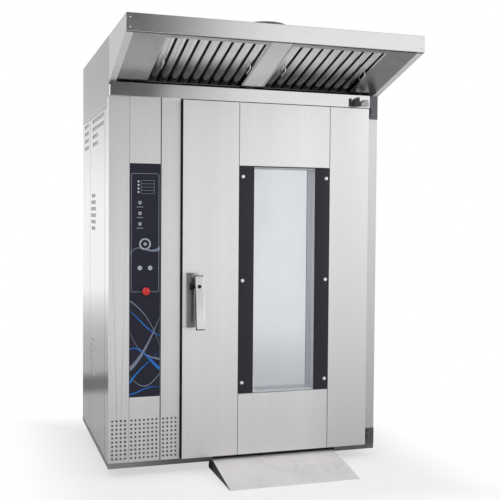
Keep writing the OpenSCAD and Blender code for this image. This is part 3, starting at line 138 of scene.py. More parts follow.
def rounded_block(lo, hi, radius, steps=3):
    """Block with rounded edges from a sphere cut into eight parts moved apart.

    p = centre + sign * (half - radius) + radius * n, where n runs over the
    unit sphere in longitude and latitude and sign is that of n's octant.
    """
    lo, hi = np.asarray(lo, float), np.asarray(hi, float)
    centre, half = (lo + hi) / 2, (hi - lo) / 2
    radius = min(radius, half.min() * 0.98)
    lon, sx, sy = quarter_turns(steps)
    quarter = np.linspace(0, np.pi / 2, steps + 1)
    lat = np.concatenate([quarter - np.pi / 2, quarter])
    sz = np.repeat([-1, 1], steps + 1)
    sign = np.stack(np.broadcast_arrays(sx[:, None], sy[:, None], sz), -1)
    normal = [np.cos(lon)[:, None] * np.cos(lat), np.sin(lon)[:, None] * np.cos(lat), np.sin(lat)]
    normal = np.stack(np.broadcast_arrays(*normal), -1)
    verts = (centre + sign * (half - radius) + radius * normal).reshape(-1, 3)
    cols = len(lat)
    ring = np.arange(4) * (steps + 1) * cols
    caps = np.array([ring[::-1], ring + cols - 1])
    return verts, np.concatenate([grid_faces(len(lon), cols, closed_rows=True), caps])


def sweep(path, outline, closed=True):
    """Outline (a, b) carried along a path that lies in X and Z; an open path is capped.

    p(i, k) = path_i + a_k * side_i + b_k * forward, where side is the path's
    direction crossed with forward.
    """
    path, outline = np.asarray(path, float), np.asarray(outline, float)
    if closed:
        tangent = np.roll(path, -1, 0) - np.roll(path, 1, 0)
    else:
        tangent = np.gradient(path, axis=0)
    tangent /= np.linalg.norm(tangent, axis=1)[:, None]
    side = np.cross(tangent, FORWARD)
    verts = path[:, None] + outline[:, :1] * side[:, None] + outline[:, 1:] * np.array(FORWARD)
    if not closed:
        return capped_tube(verts)
    faces = grid_faces(len(path), len(outline), closed_rows=True, closed_cols=True)
    return verts.reshape(-1, 3), faces


def rounded_rectangle(centre, half_w, half_h, radius):
    """Closed path in X and Z: four quarter circles whose centres are the inner corners."""
    a, sx, sz = quarter_turns(6)
    x = sx * (half_w - radius) + radius * np.cos(a)
    z = sz * (half_h - radius) + radius * np.sin(a)
    return np.asarray(centre) + np.stack([x, 0 * x, z], -1)


def ribbon(points, widths, face_y, x_range):
    """Tapered band along a Bezier curve that lies on the overlay.

    c(t) = (1-t)^3 a + 3(1-t)^2 t b + 3(1-t) t^2 c + t^3 d in X and Z, the width
    is a parabola through its start, middle and end values, and the band stands
    proud by crown * (1 - s^2) for s from -1 to 1 across it.
    """
    crown, skin, sunk, least = 0.25 * MM, 0.04 * MM, 0.4 * MM, 0.2 * MM
    a, b, c, d = np.asarray(points, float)
    t = np.linspace(0, 1, 48)[:, None]
    curve = (1 - t) ** 3 * a + 3 * (1 - t) ** 2 * t * b + 3 * (1 - t) * t**2 * c + t**3 * d
    tangent = np.gradient(curve, axis=0)
    tangent /= np.linalg.norm(tangent, axis=1)[:, None]
    normal = np.stack([-tangent[:, 1], tangent[:, 0]], -1)
    w0, w1, w2 = widths
    width = w0 * (1 - t) * (1 - 2 * t) + 4 * w1 * t * (1 - t) + w2 * t * (2 * t - 1)
    s = np.linspace(-1, 1, 7)
    half = (np.maximum(width, least) / 2)[:, None]
    flat = curve[:, None] + normal[:, None] * half * s[None, :, None]
    x = np.clip(flat[..., 0], *x_range)
    lift = np.broadcast_to(face_y - skin - crown * (1 - s**2), x.shape)
    front = np.stack([x, lift, flat[..., 1]], -1)
    back = front.copy()
    back[..., 1] = face_y + sunk
    return capped_tube(np.concatenate([front, back[:, ::-1]], 1))


def repeat(part, offsets):
    """Copies of one (verts, faces) part, moved by each row of offsets."""
    verts, faces = part
    offsets = np.asarray(offsets, float)
    many = verts[None] + offsets[:, None]
    step = np.arange(len(offsets))[:, None, None] * len(verts)
    return many.reshape(-1, 3), (faces[None] + step).reshape(-1, faces.shape[1])


def tilt_about_x(part, pivot, angle):
    """Turns a part about an X line: y' = y cos - z sin, z' = y sin + z cos."""
    verts, faces = part
    c, s = math.cos(angle), math.sin(angle)
    turn = np.array([[1, 0, 0], [0, c, -s], [0, s, c]])
    return (verts - pivot) @ turn.T + pivot, faces


def crimped_sheet(lo, hi, waves=(24, 20)):
    """Closed sheet in X and Z of thickness t, dented on both faces.

    The faces are y = lo + d and y = hi - d with d = t/4 |sin(a pi u) sin(b pi v)|
    for u and v from 0 to 1 and waves (a, b).
    """
    u, v = (np.linspace(0, 1, 2 * count + 1) for count in waves)
    x, z = lo[0] + u * (hi[0] - lo[0]), lo[2] + v * (hi[2] - lo[2])
    dent = np.sin(u * waves[0] * np.pi)[:, None] * np.sin(v * waves[1] * np.pi)
    dent = np.abs(dent) * (hi[1] - lo[1]) / 4
    levels = lo[1] + dent, hi[1] - dent
    layers = [np.stack(np.broadcast_arrays(x[:, None], y, z), -1).reshape(-1, 3) for y in levels]
    index = np.arange(dent.size).reshape(dent.shape)
    ring = np.concatenate([index[0], index[1:, -1], index[-1, -2::-1], index[-2:0:-1, 0]])
    following = np.roll(ring, -1)
    edge = np.stack([ring, following, following + dent.size, ring + dent.size], -1)
    sheet = grid_faces(*dent.shape)
    faces = np.concatenate([sheet, sheet[:, ::-1] + dent.size, edge])
    return np.concatenate(layers), faces


def build(name, parts, look, body, replaced=None, smooth=40.0):
    """Joins parts into one closed mesh object at the origin and lets it ride."""
    verts = np.concatenate([p[0] for p in parts])
    shift = np.cumsum([0] + [len(p[0]) for p in parts[:-1]])
    faces = [tuple(dict.fromkeys(f)) for p, s in zip(parts, shift) for f in (p[1] + s).tolist()]
    mesh = bpy.data.meshes.new(name)
    mesh.from_pydata(verts.tolist(), [], faces)
    work = bmesh.new()
    work.from_mesh(mesh)
    bmesh.ops.remove_doubles(work, verts=work.verts, dist=2e-6)
    bmesh.ops.dissolve_degenerate(work, edges=work.edges, dist=1e-7)
    bmesh.ops.recalc_face_normals(work, faces=work.faces)
    work.to_mesh(mesh)
    work.free()
    mesh.materials.append(finish(look))
    mesh.shade_smooth()
    mesh.set_sharp_from_angle(angle=math.radians(smooth))
    obj = place(name, mesh)
    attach(obj, body)
    if replaced:
        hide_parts(replaced)


def place(name, data):
    """A new object of the scene with this data."""
    obj = bpy.data.objects.new(name, data)
    bpy.context.scene.collection.objects.link(obj)
    return obj


# ----------------------------------------------------------- node shorthands
def linear(colour, factor=1.0, lift=0.0):
    """Linear 0-1 of sRGB numbers 0-255 or a colour property, times factor plus lift, alpha 1."""
    if isinstance(colour, str):
        c = np.array(getattr(bpy.context.scene.oven_finish, colour))
    else:
        c = np.asarray(colour, float) / 255
        c = np.where(c <= 0.04045, c / 12.92, ((c + 0.055) / 1.055) ** 2.4)
    return (*np.minimum(c * factor + lift, 1.0).tolist(), 1.0)


class Wiring:
    """Short hand for adding and joining nodes in one tree."""

    def __init__(self, tree):
        self.tree = tree

    def put(self, node, values):
        """Joins each socket and sets each constant on a node; an _ in a name is a space."""
        for key, value in values.items():
            inlet = node.inputs[key.replace("_", " ") if isinstance(key, str) else key]
            if isinstance(value, bpy.types.NodeSocket):
                self.tree.links.new(value, inlet)
            else:
                inlet.default_value = value

    def add(self, kind, values=None, **settings):
        """A new node; returns its outputs."""
        node = self.tree.nodes.new(kind)
        for key, value in settings.items():
            setattr(node, key, value)
        self.put(node, values or {})
        return node.outputs

    def math(self, operation, a, b=0.0, clamp=False):
        return self.add("ShaderNodeMath", {0: a, 1: b}, operation=operation, use_clamp=clamp)[0]

    def times(self, first, *others):
        for other in others:
            first = self.math("MULTIPLY", first, other)
        return first

    def rest(self, value):
        return self.math("SUBTRACT", 1.0, value)

    def apart(self, a, b):
        return self.math("ABSOLUTE", self.math("SUBTRACT", a, b))

    def vector(self, operation, a, b, output=0):
        return self.add("ShaderNodeVectorMath", {0: a, 1: b}, operation=operation)[output]

    def split(self, vector):
        return self.add("ShaderNodeSeparateXYZ", {0: vector})

    def ramp(self, value, low, high, out_low=0.0, out_high=1.0):
        values = {0: value, 1: low, 2: high, 3: out_low, 4: out_high}
        return self.add("ShaderNodeMapRange", values, interpolation_type="SMOOTHSTEP")[0]

    def mix(self, factor, a, b):
        return self.add("ShaderNodeMix", {"Factor": factor, 6: a, 7: b}, data_type="RGBA")[2]

    def blend(self, factor, a, b):
        return self.add("ShaderNodeMix", {0: factor, 2: a, 3: b}, data_type="FLOAT")[0]

    def inside(self, axes, limits):
        """1 where every (axis, comparison, bound) holds; axis 3 is the distance |x|."""
        mask = 1.0
        for axis, comparison, bound in limits:
            value = self.math("ABSOLUTE", axes[0]) if axis == 3 else axes[axis]
            mask = self.times(mask, self.math(comparison, value, bound))
        return mask

    def noise(self, vector, scale, detail=3.0, rough=0.5):
        values = {"Vector": vector, "Scale": scale, "Detail": detail, "Roughness": rough}
        return self.add("ShaderNodeTexNoise", values)[0]


# ------------------------------------------------------------ shared effects
def brushed_grain(w, i):
    """Fine brushed lines: noise stretched along one axis, and broad streaks."""
    drawn = w.vector("MULTIPLY", i["Vector"], i["Stretch"])
    grain = w.noise(drawn, i["Fineness"], 4.0, 0.7)
    return {"Grain": grain, "Streak": w.noise(drawn, w.times(i["Fineness"], 0.035), 3.0, 0.6)}


def handling_marks(w, i):
    """Two sizes of soft noise, multiplied and sharpened."""
    broad = w.noise(i["Vector"], i["Size"], 4.0, 0.6)
    fine = w.noise(i["Vector"], w.times(i["Size"], 7.0))
    return {"Mask": w.times(w.ramp(broad, 0.42, 0.72), w.ramp(fine, 0.3, 0.7), i["Amount"])}


def floor_dust(w, i):
    """Dust and grime that gather near the floor: a height ramp broken by noise."""
    height = w.math("DIVIDE", w.split(i["Vector"])[2], i["Height"])
    broken = w.ramp(w.noise(i["Vector"], 18.0, 5.0, 0.65), 0.35, 0.75)
    return {"Mask": w.times(w.math("SUBTRACT", 1.0, height, clamp=True), broken, i["Amount"])}


def matted_fibres(w, i):
    """Warped bands that cross one another, broken by noise."""
    wave = {"Vector": i["Vector"], "Scale": i["Scale"], "Distortion": 9.0, "Detail": 4.0}
    bands = w.add("ShaderNodeTexWave", wave)[1]
    return {"Fibre": w.times(bands, w.noise(i["Vector"], w.times(i["Scale"], 3.0), 5.0, 0.7))}


def rivet_head(w, i):
    """One rivet head: its dome is 1 - (d / r)^2 for a distance d from its centre."""
    distance = w.vector("DISTANCE", i["Vector"], i["Centre"], "Value")
    share = w.math("DIVIDE", distance, i["Radius"])
    return {"Dome": w.math("SUBTRACT", 1.0, w.times(share, share), clamp=True)}


EFFECTS = {
    "grain": ("Brushed grain", brushed_grain, {"Stretch": (1.0, 1.0, 1.0), "Fineness": 900.0}),
    "smudge": ("Handling marks", handling_marks, {"Size": 6.0, "Amount": 0.5}),
    "dust": ("Floor dust", floor_dust, {"Height": 0.25, "Amount": 0.3}),
    "fibre": ("Matted fibres", matted_fibres, {"Scale": 60.0}),
    "rivet": ("Rivet head", rivet_head, {"Centre": (0.0, 0.0, 0.0), "Radius": 0.004}),
}
GROUPS = {}


def shared(name):
    """An effect's node group, built once when first asked for."""
    if name not in GROUPS:
        label, maker, inputs = EFFECTS[name]
        group = bpy.data.node_groups.new(label, "ShaderNodeTree")
        for key, value in {"Vector": (0.0, 0.0, 0.0), **inputs}.items():
            kind = "NodeSocketFloat" if isinstance(value, float) else "NodeSocketVector"
            socket = group.interface.new_socket(name=key, in_out="INPUT", socket_type=kind)
            socket.default_value = value
        w = Wiring(group)
        results = maker(w, group.nodes.new("NodeGroupInput").outputs)
        for key in results:
            group.interface.new_socket(name=key, in_out="OUTPUT", socket_type="NodeSocketFloat")
        w.put(group.nodes.new("NodeGroupOutput"), results)
        GROUPS[name] = group
    return GROUPS[name]


# ---------------------------------------------------------------- materials
class Coat(Wiring):
    """A material in the making, round its Principled shader."""

    def __init__(self, name, **values):
        self.material = bpy.data.materials.new(name)
        self.material.use_nodes = True
        super().__init__(self.material.node_tree)
        self.shader = self.tree.nodes["Principled BSDF"]
        self.where = self.add("ShaderNodeTexCoord")["Object"]
        self.put(self.shader, values)

    def effect(self, name, **values):
        return self.add("ShaderNodeGroup", {"Vector": self.where, **values}, node_tree=shared(name))

    def grain(self, stretch, fineness=900.0):
        return self.effect("grain", Stretch=stretch, Fineness=fineness)

    def smudge(self, size, amount):
        return self.effect("smudge", Size=size, Amount=amount)["Mask"]

    def relief(self, height, strength, distance=0.0006, **values):
        values.update(Strength=strength, Distance=distance, Height=height)
        return self.add("ShaderNodeBump", values)[0]

    def end(self, **sockets):
        """Joins the shader's sockets; returns the material."""
        self.put(self.shader, sockets)
        return self.material

    def end_steel(self, lines, shade, low, high, depth=0.03, extra=0.0):
        """Ends with roughness from low to high over the grain, plus extra, and its relief."""
        rough = self.math("ADD", self.ramp(lines["Grain"], 0.2, 0.8, low, high), extra)
        normal = self.relief(lines["Grain"], depth)
        return self.end(Base_Color=shade, Roughness=rough, Normal=normal)


def grain_along(axis, share=0.012):
    """Stretch that draws the grain out along one axis."""
    return tuple(share if letter == axis else 1.0 for letter in "XYZ")


def brushed_steel(name, colour, rough, axis, marks, grain, dust=0.0, fineness=900.0,
                  rivets=(), rivet_size=0.0055, zones=(), fades=()):
    """Stainless sheet with its grain along one axis, faint marks, floor dust and flush rivets, each
    ringed with painted shade.

    A zone is (limits, colour, metallic, roughness) for a part of the node that is finished
    otherwise, mostly painted shade and painted light;
    a shade fade is (axis, start, end, colour), a painted shade gradient along the node.
    """
    m = Coat(name)
    lines = m.grain(grain_along(axis), fineness)
    mark = m.smudge(3.5, marks)
    axes = m.split(m.where)
    shade = m.mix(m.ramp(lines["Streak"], 0.2, 0.8), linear(colour, 0.975), linear(colour, 1.02))
    shade = m.mix(m.ramp(lines["Grain"], 0.3, 0.9, 0.0, 0.35), shade, linear(colour, 0.86))
    # Painted shade gradients along the node.
    for along, start, end, tint in fades:
        shade = m.mix(m.ramp(axes[along], start, end), shade, linear(tint))
    shade = m.mix(mark, shade, linear(colour, 0.88))
    roughness = m.ramp(lines["Grain"], 0.2, 0.8, rough - 0.04, rough + 0.05)
    roughness = m.math("ADD", roughness, m.times(mark, 0.12))
    metal = 1.0
    # Zones, mostly painted shade and painted light, each with its own colour, metal and roughness.
    for limits, tint, metallic, matt in zones:
        zone = m.inside(axes, limits)
        shade = m.mix(zone, shade, linear(tint))
        roughness = m.blend(zone, roughness, matt)
        metal = m.blend(zone, metal, metallic)
    if dust:
        grime = m.effect("dust", Height=0.3, Amount=dust)["Mask"]
        shade = m.mix(grime, shade, linear((120, 114, 104)))
        roughness = m.math("ADD", roughness, m.times(grime, 0.4))
    normal = m.relief(lines["Grain"], grain)
    if rivets:
        domes = 0.0
        for centre in rivets:
            dome = m.effect("rivet", Centre=centre, Radius=rivet_size)["Dome"]
            domes = m.math("MAXIMUM", domes, dome)
        # Painted shade: a dark ring round each rivet head's dome.
        rim = m.times(m.ramp(domes, 0.0, 0.05), m.ramp(domes, 0.5, 0.2), 0.75)
        shade = m.mix(rim, shade, linear((70, 70, 72)))
        normal = m.relief(domes, 1.0, 0.0016, Normal=normal)
    return m.end(Base_Color=shade, Roughness=roughness, Normal=normal, Metallic=metal)


def filter_steel(name, colour):
    """Bright baffles with painted shade towards the rear and painted shade in their deeper hollows.
    """
    m = Coat(name, Metallic=1.0)
    lo, hi = corners("hood_soffit")
    run, drop = (hi - lo)[1:]
    length = math.hypot(run, drop)
    normal = (0.0, drop / length, run / length)
    face = hi[1] * normal[1] + lo[2] * normal[2]
    depth = m.vector("DOT_PRODUCT", m.where, normal, "Value")
    # Painted shade in the baffles' deeper hollows, which also turn rougher there.
    hollow_shade = m.ramp(depth, face + 0.0135, face + 0.0175)
    front, back = (corner[1] for corner in corners("filter_left"))
    y = m.split(m.where)[1]
    # Painted shade: the baffles darken towards the rear.
    rear = m.ramp(y, front * 0.72 + back * 0.28, front * 0.3 + back * 0.7)
    shade = m.mix(m.smudge(9.0, 0.5), linear(colour), linear(colour, 0.8))
    shade = m.mix(rear, shade, linear(colour, 0.11))
    shade = m.mix(hollow_shade, shade, linear((38, 34, 30)))
    lines = m.grain((1.0, 0.02, 0.4))
    return m.end_steel(lines, shade, 0.11, 0.17, extra=m.times(hollow_shade, 0.35))


def ramp_steel(name, colour):
    """Matt plate worn by wheels, with dark painted side plates under its edges."""
    m = Coat(name, Metallic=0.1)
    lines = m.grain(grain_along("Y", 0.02), 700.0)
    lo, hi = corners("ramp")
    middle, half = (lo[0] + hi[0]) / 2, (hi[0] - lo[0]) / 2
    edge = m.math(ABOVE, m.apart(m.split(m.where)[0], middle), half - 0.03 * MM)
    shade = m.mix(m.ramp(lines["Streak"], 0.2, 0.8), linear((242, 239, 240)), linear(colour))
    shade = m.mix(m.smudge(5.0, 0.5), shade, linear((214, 211, 210)))
    shade = m.mix(edge, shade, linear((66, 64, 66)))
    return m.end_steel(lines, shade, 0.48, 0.58, 0.06)


def liner_steel(name, colour):
    """Cool grey liner of the leaf and its window tunnel, with dark hinge knuckles and painted shade
    on its free edge.
    """
    m = Coat(name, Metallic=0.45)
    lines = m.grain(grain_along("Z"))
    x = m.split(m.where)[0]
    knuckle = m.math(ABOVE, x, corners("door_skins")[1][0] - 0.2 * MM)
    # Painted shade: the pan's free edge is near black.
    free_edge_shade = m.math(BELOW, x, corners("door_pan")[0][0] + SHEET)
    shade = m.mix(m.ramp(lines["Streak"], 0.2, 0.8), linear((212, 215, 222)), linear(colour))
    shade = m.mix(m.smudge(3.0, 0.4), shade, linear((194, 195, 200)))
    shade = m.mix(knuckle, shade, linear((74, 74, 78)))
    shade = m.mix(free_edge_shade, shade, linear((20, 20, 22)))
    return m.end_steel(lines, shade, 0.34, 0.44)


def lever_steel(name, colour):
    """Bright pressed face; the walls behind it and the face's outline carry painted shade."""
    m = Coat(name, Metallic=1.0)
    lines = m.grain(grain_along("Z"), 1100.0)
    side_line, end_line = 2.6 * MM, 4.6 * MM
    away = m.vector("SUBTRACT", m.where, tuple(joint("handle_pivot")[0]))
    out = (0.0, -math.cos(LEVER_LEAN), -math.sin(LEVER_LEAN))
    up = (0.0, -math.sin(LEVER_LEAN), math.cos(LEVER_LEAN))
    depth, height = (m.vector("DOT_PRODUCT", away, axis, "Value") for axis in (out, up))
    # Painted shade on the walls behind the face and round the face's outline.
    wall_shade = m.ramp(depth, LEVER_DEEP - 0.5 * MM, LEVER_DEEP - 0.9 * MM)
    foot = LEVER_TOP - LEVER_LENGTH
    for edge in (
        (BELOW, m.split(away)[0], side_line),
        (ABOVE, height, LEVER_TOP - end_line),
        (BELOW, height, foot + end_line),
    ):
        wall_shade = m.math("MAXIMUM", wall_shade, m.math(*edge))
    shade = m.mix(m.smudge(18.0, 0.3), linear(colour), linear(colour, 0.85))
    shade = m.mix(wall_shade, shade, linear((36, 36, 38)))
    return m.end_steel(lines, shade, 0.3, 0.38)


def handle_plate_steel(name, colour):
    """Folded plate whose raised fold, away from its thin flange, carries painted shade beside the
    lever.
    """
    m = Coat(name, Metallic=1.0)
    left = corners("handle_base")[0][0]
    shade = m.mix(m.smudge(18.0, 0.3), linear(colour), linear(colour, 0.85))
    # Painted shade: the raised fold darkens away from the flange, towards the lever.
    fold = m.ramp(m.split(m.where)[0], left + 8 * MM, left + 24 * MM)
    shade = m.mix(fold, shade, linear(colour, 0.3))
    return m.end_steel(m.grain(grain_along("Z"), 1100.0), shade, 0.34, 0.42)


def moulded(name, colour, rough, pebbles=900.0, bump=0.15, marks=0.25, **values):
    """Moulded plastic, rubber or paint: fine pebbling and soft handling marks."""
    m = Coat(name, **{"Specular_IOR_Level": 0.3, **values})
    pebble = m.noise(m.where, pebbles, 2.0)
    mark = m.smudge(14.0, marks)
    roughness = m.ramp(pebble, 0.3, 0.7, rough - 0.04, rough + 0.04)
    return m.end(
        Base_Color=m.mix(mark, linear(colour), linear(colour, 1.35, 0.004)),
        Roughness=m.math("ADD", roughness, m.times(mark, 0.12)),
        Normal=m.relief(pebble, bump, 0.0004),
    )


def cast_metal(name, colour, rough):
    """Cast or heat-worn metal: pitted by cells, with darker hollows."""
    m = Coat(name, Metallic=0.7)
    cells = m.add("ShaderNodeTexVoronoi", {"Vector": m.where, "Scale": 260.0})[0]
    cloud = m.noise(m.where, 9.0, 5.0, 0.6)
    return m.end(
        Base_Color=m.mix(m.ramp(cloud, 0.3, 0.7), linear(colour, 0.7), linear(colour, 1.25)),
        Roughness=m.ramp(cloud, 0.3, 0.7, rough - 0.1, rough + 0.12),
        Normal=m.relief(cells, 0.35),
    )


def wool_batt(name, colour):
    """Mineral wool batt: crossing fibres with a soft bump."""
    m = Coat(name, Roughness=0.95, Sheen_Weight=0.25)
    fibre = m.effect("fibre", Scale=45.0)["Fibre"]
    shade = m.mix(m.ramp(fibre, 0.05, 0.5), linear(colour, 0.6), linear(colour))
    return m.end(Base_Color=shade, Normal=m.relief(fibre, 0.7, 0.004))


def clear_pane(name, colour):
    """Toughened pane: a tinted dielectric with faint wiping marks."""
    m = Coat(name, Base_Color=linear(colour), Transmission_Weight=1.0, IOR=1.5)
    return m.end(Roughness=m.times(m.smudge(2.2, 0.15), 0.12))


def reflective_pane(name, colour):
    """Heat-reflecting inner pane: a bright coated face with faint wiping marks."""
    m = Coat(name, Metallic=1.0)
    cloud = m.noise(m.where, 1.6, 2.0, 0.4)
    shade = m.mix(m.ramp(cloud, 0.3, 0.7), linear(colour, 0.94), linear(colour))
    rough = m.math("ADD", m.times(m.smudge(2.0, 0.25), 0.1), 0.07)
    return m.end(Base_Color=shade, Roughness=rough)


def overlay_film(name, colour):
    """Dark film with silver print where the node stands proud of it.

    The film's face lies at one Y, so what stands further out is silver and what
    lies behind the column's sheet is the electronics case. A label under each of
    the three keys is film again, with plain silver ticks.
    """
    m = Coat(name, Specular_IOR_Level=0.18)
    rows_base, row_step, rows_middle, rows_half = 0.9665, 0.055, 0.939, 0.066
    row_half, tick_half, tick_step = 0.13, 0.045, 0.0038
    face = overlay_face()
    lo = corners("control_overlay")[0]
    axes = m.split(m.where)
    proud = m.math(BELOW, axes[1], face - 0.4 * MM)
    behind = m.math(ABOVE, axes[1], face + 3.6 * MM)
    x, z = (m.math("SUBTRACT", axes[k], lo[k]) for k in (0, 2))
    row = m.math("FRACT", m.math("DIVIDE", m.math("SUBTRACT", z, rows_base), row_step))
    row = m.apart(row, 0.5)
    near = m.math(BELOW, m.apart(z, rows_middle), rows_half)
    label = m.times(m.math(BELOW, row, row_half), near)
    dash = m.math(ABOVE, m.math("FRACT", m.math("DIVIDE", x, tick_step)), 0.4)
    tick = m.times(m.math(BELOW, row, tick_half), dash)
    cloud = m.smudge(5.0, 0.3)
    film = m.mix(cloud, linear(colour), linear((40, 42, 56)))
    shade = m.mix(m.times(label, m.rest(tick)), linear((158, 162, 174)), film)
    shade = m.mix(proud, film, shade)
    shade = m.mix(behind, shade, linear((150, 150, 154)))
    pebble = m.noise(m.where, 1500.0, 2.0)
    rough = m.math("ADD", m.ramp(pebble, 0.3, 0.7, 0.36, 0.42), m.times(cloud, 0.2))
    return m.end(Base_Color=shade, Roughness=rough, Normal=m.relief(pebble, 0.12, 0.0003))


def switch_finish(name, colour):
    """Dark bracket and body of the door switch, and its bright cam cover on the right."""
    m = Coat(name)
    cover = m.math(ABOVE, m.split(m.where)[0], corners("door_switch")[0][0] + 60 * MM)
    pebble = m.noise(m.where, 800.0, 2.0)
    return m.end(
        Base_Color=m.mix(cover, linear(colour), linear((158, 158, 160))),
        Metallic=cover,
        Roughness=m.ramp(pebble, 0.3, 0.7, 0.3, 0.38),
        Normal=m.relief(pebble, 0.15, 0.0004),
    )


# ------------------------------------------------- places that finishes need
# How far the painted shade along a sheet's edge reaches in; the lever's outward lean at rest, its
# front's distance from the pivot, its reach above the pivot and its length.
SHEET = 0.9 * MM
LEVER_LEAN, LEVER_DEEP = math.radians(-9), 0.018
LEVER_TOP, LEVER_LENGTH = 0.058, 0.285
CANOPY = corners("hood_canopy")
COLUMN_FRONT = corners("control_column")[0][1]
PANEL_PLANE = corners("right_side_panel")[1][0] - 0.8 * MM


def overlay_face():
    """Y of the overlay's front face: its strips of film lie on the column."""
    return COLUMN_FRONT - bpy.context.scene.oven_controls.film_thickness


def fascia_rivets():
    """Two flush rivets at each end of the hood's fascia."""
    lo, hi = CANOPY
    ends = (lo[0] + 0.018, hi[0] - 0.018)
    return [(x, lo[1], hi[2] - down) for x in ends for down in (0.020, 0.066)]


def post_screws():
    """Flush screws down the left post's return."""
    lo = corners("left_post")[0]
    return [(lo[0], lo[1] + 0.073, z) for z in (1.906, 1.306, 0.704, 0.150)]


def gap_shade_edge(node, colour):
    """Zone of painted shade along a sheet's edge on a node's left, standing in for the dark gap
    beside it.
    """
    return [(0, BELOW, corners(node)[0][0] + SHEET)], colour, 0.0, 0.8


# Zones: painted shade behind the columns' fronts; painted light on the canopy's inner faces, behind
# its fascia, under its top and between its cheeks; its roof; painted shade on the side panels'
# louvres and folds.
# Painted shade behind the columns' fronts, inside their hollows.
COLUMN_INSIDE_SHADE = ([(1, ABOVE, COLUMN_FRONT + 0.8 * MM)], (84, 84, 86), 0.6, 0.5)
# Painted light: the canopy's inner faces are pale and barely metallic.
CANOPY_INSIDE_LIGHT = (
    [(3, BELOW, CANOPY[1][0] - 0.8 * MM), (1, ABOVE, CANOPY[0][1] + 1.2 * MM),
     (2, BELOW, CANOPY[1][2] - 1.2 * MM)],
    (244, 244, 245), 0.2, 0.3,
)
ROOF = ([(2, ABOVE, CANOPY[1][2] - 0.6 * MM)], (196, 196, 197), 1.0, 0.34)
# Painted light: the left post's return is brighter and glossier.
POST_RETURN_LIGHT = ([(0, BELOW, -PANEL_PLANE)], (238, 238, 238), 1.0, 0.15)
# Painted highlight down the soffit's divider between the filters.
SOFFIT_DIVIDER_HIGHLIGHT = ([(3, BELOW, 0.05)], (244, 244, 244), 1.0, 0.22)
# Painted light on the soffit's two ends.
SOFFIT_ENDS_LIGHT = ([(3, ABOVE, 0.716)], (246, 246, 247), 0.2, 0.3)
# Painted shade on the side panels' louvre blades and folds, inside the panel's plane.
PANEL_FOLDS_SHADE = ([(3, BELOW, PANEL_PLANE)], (196, 196, 197), 0.4, 0.45)

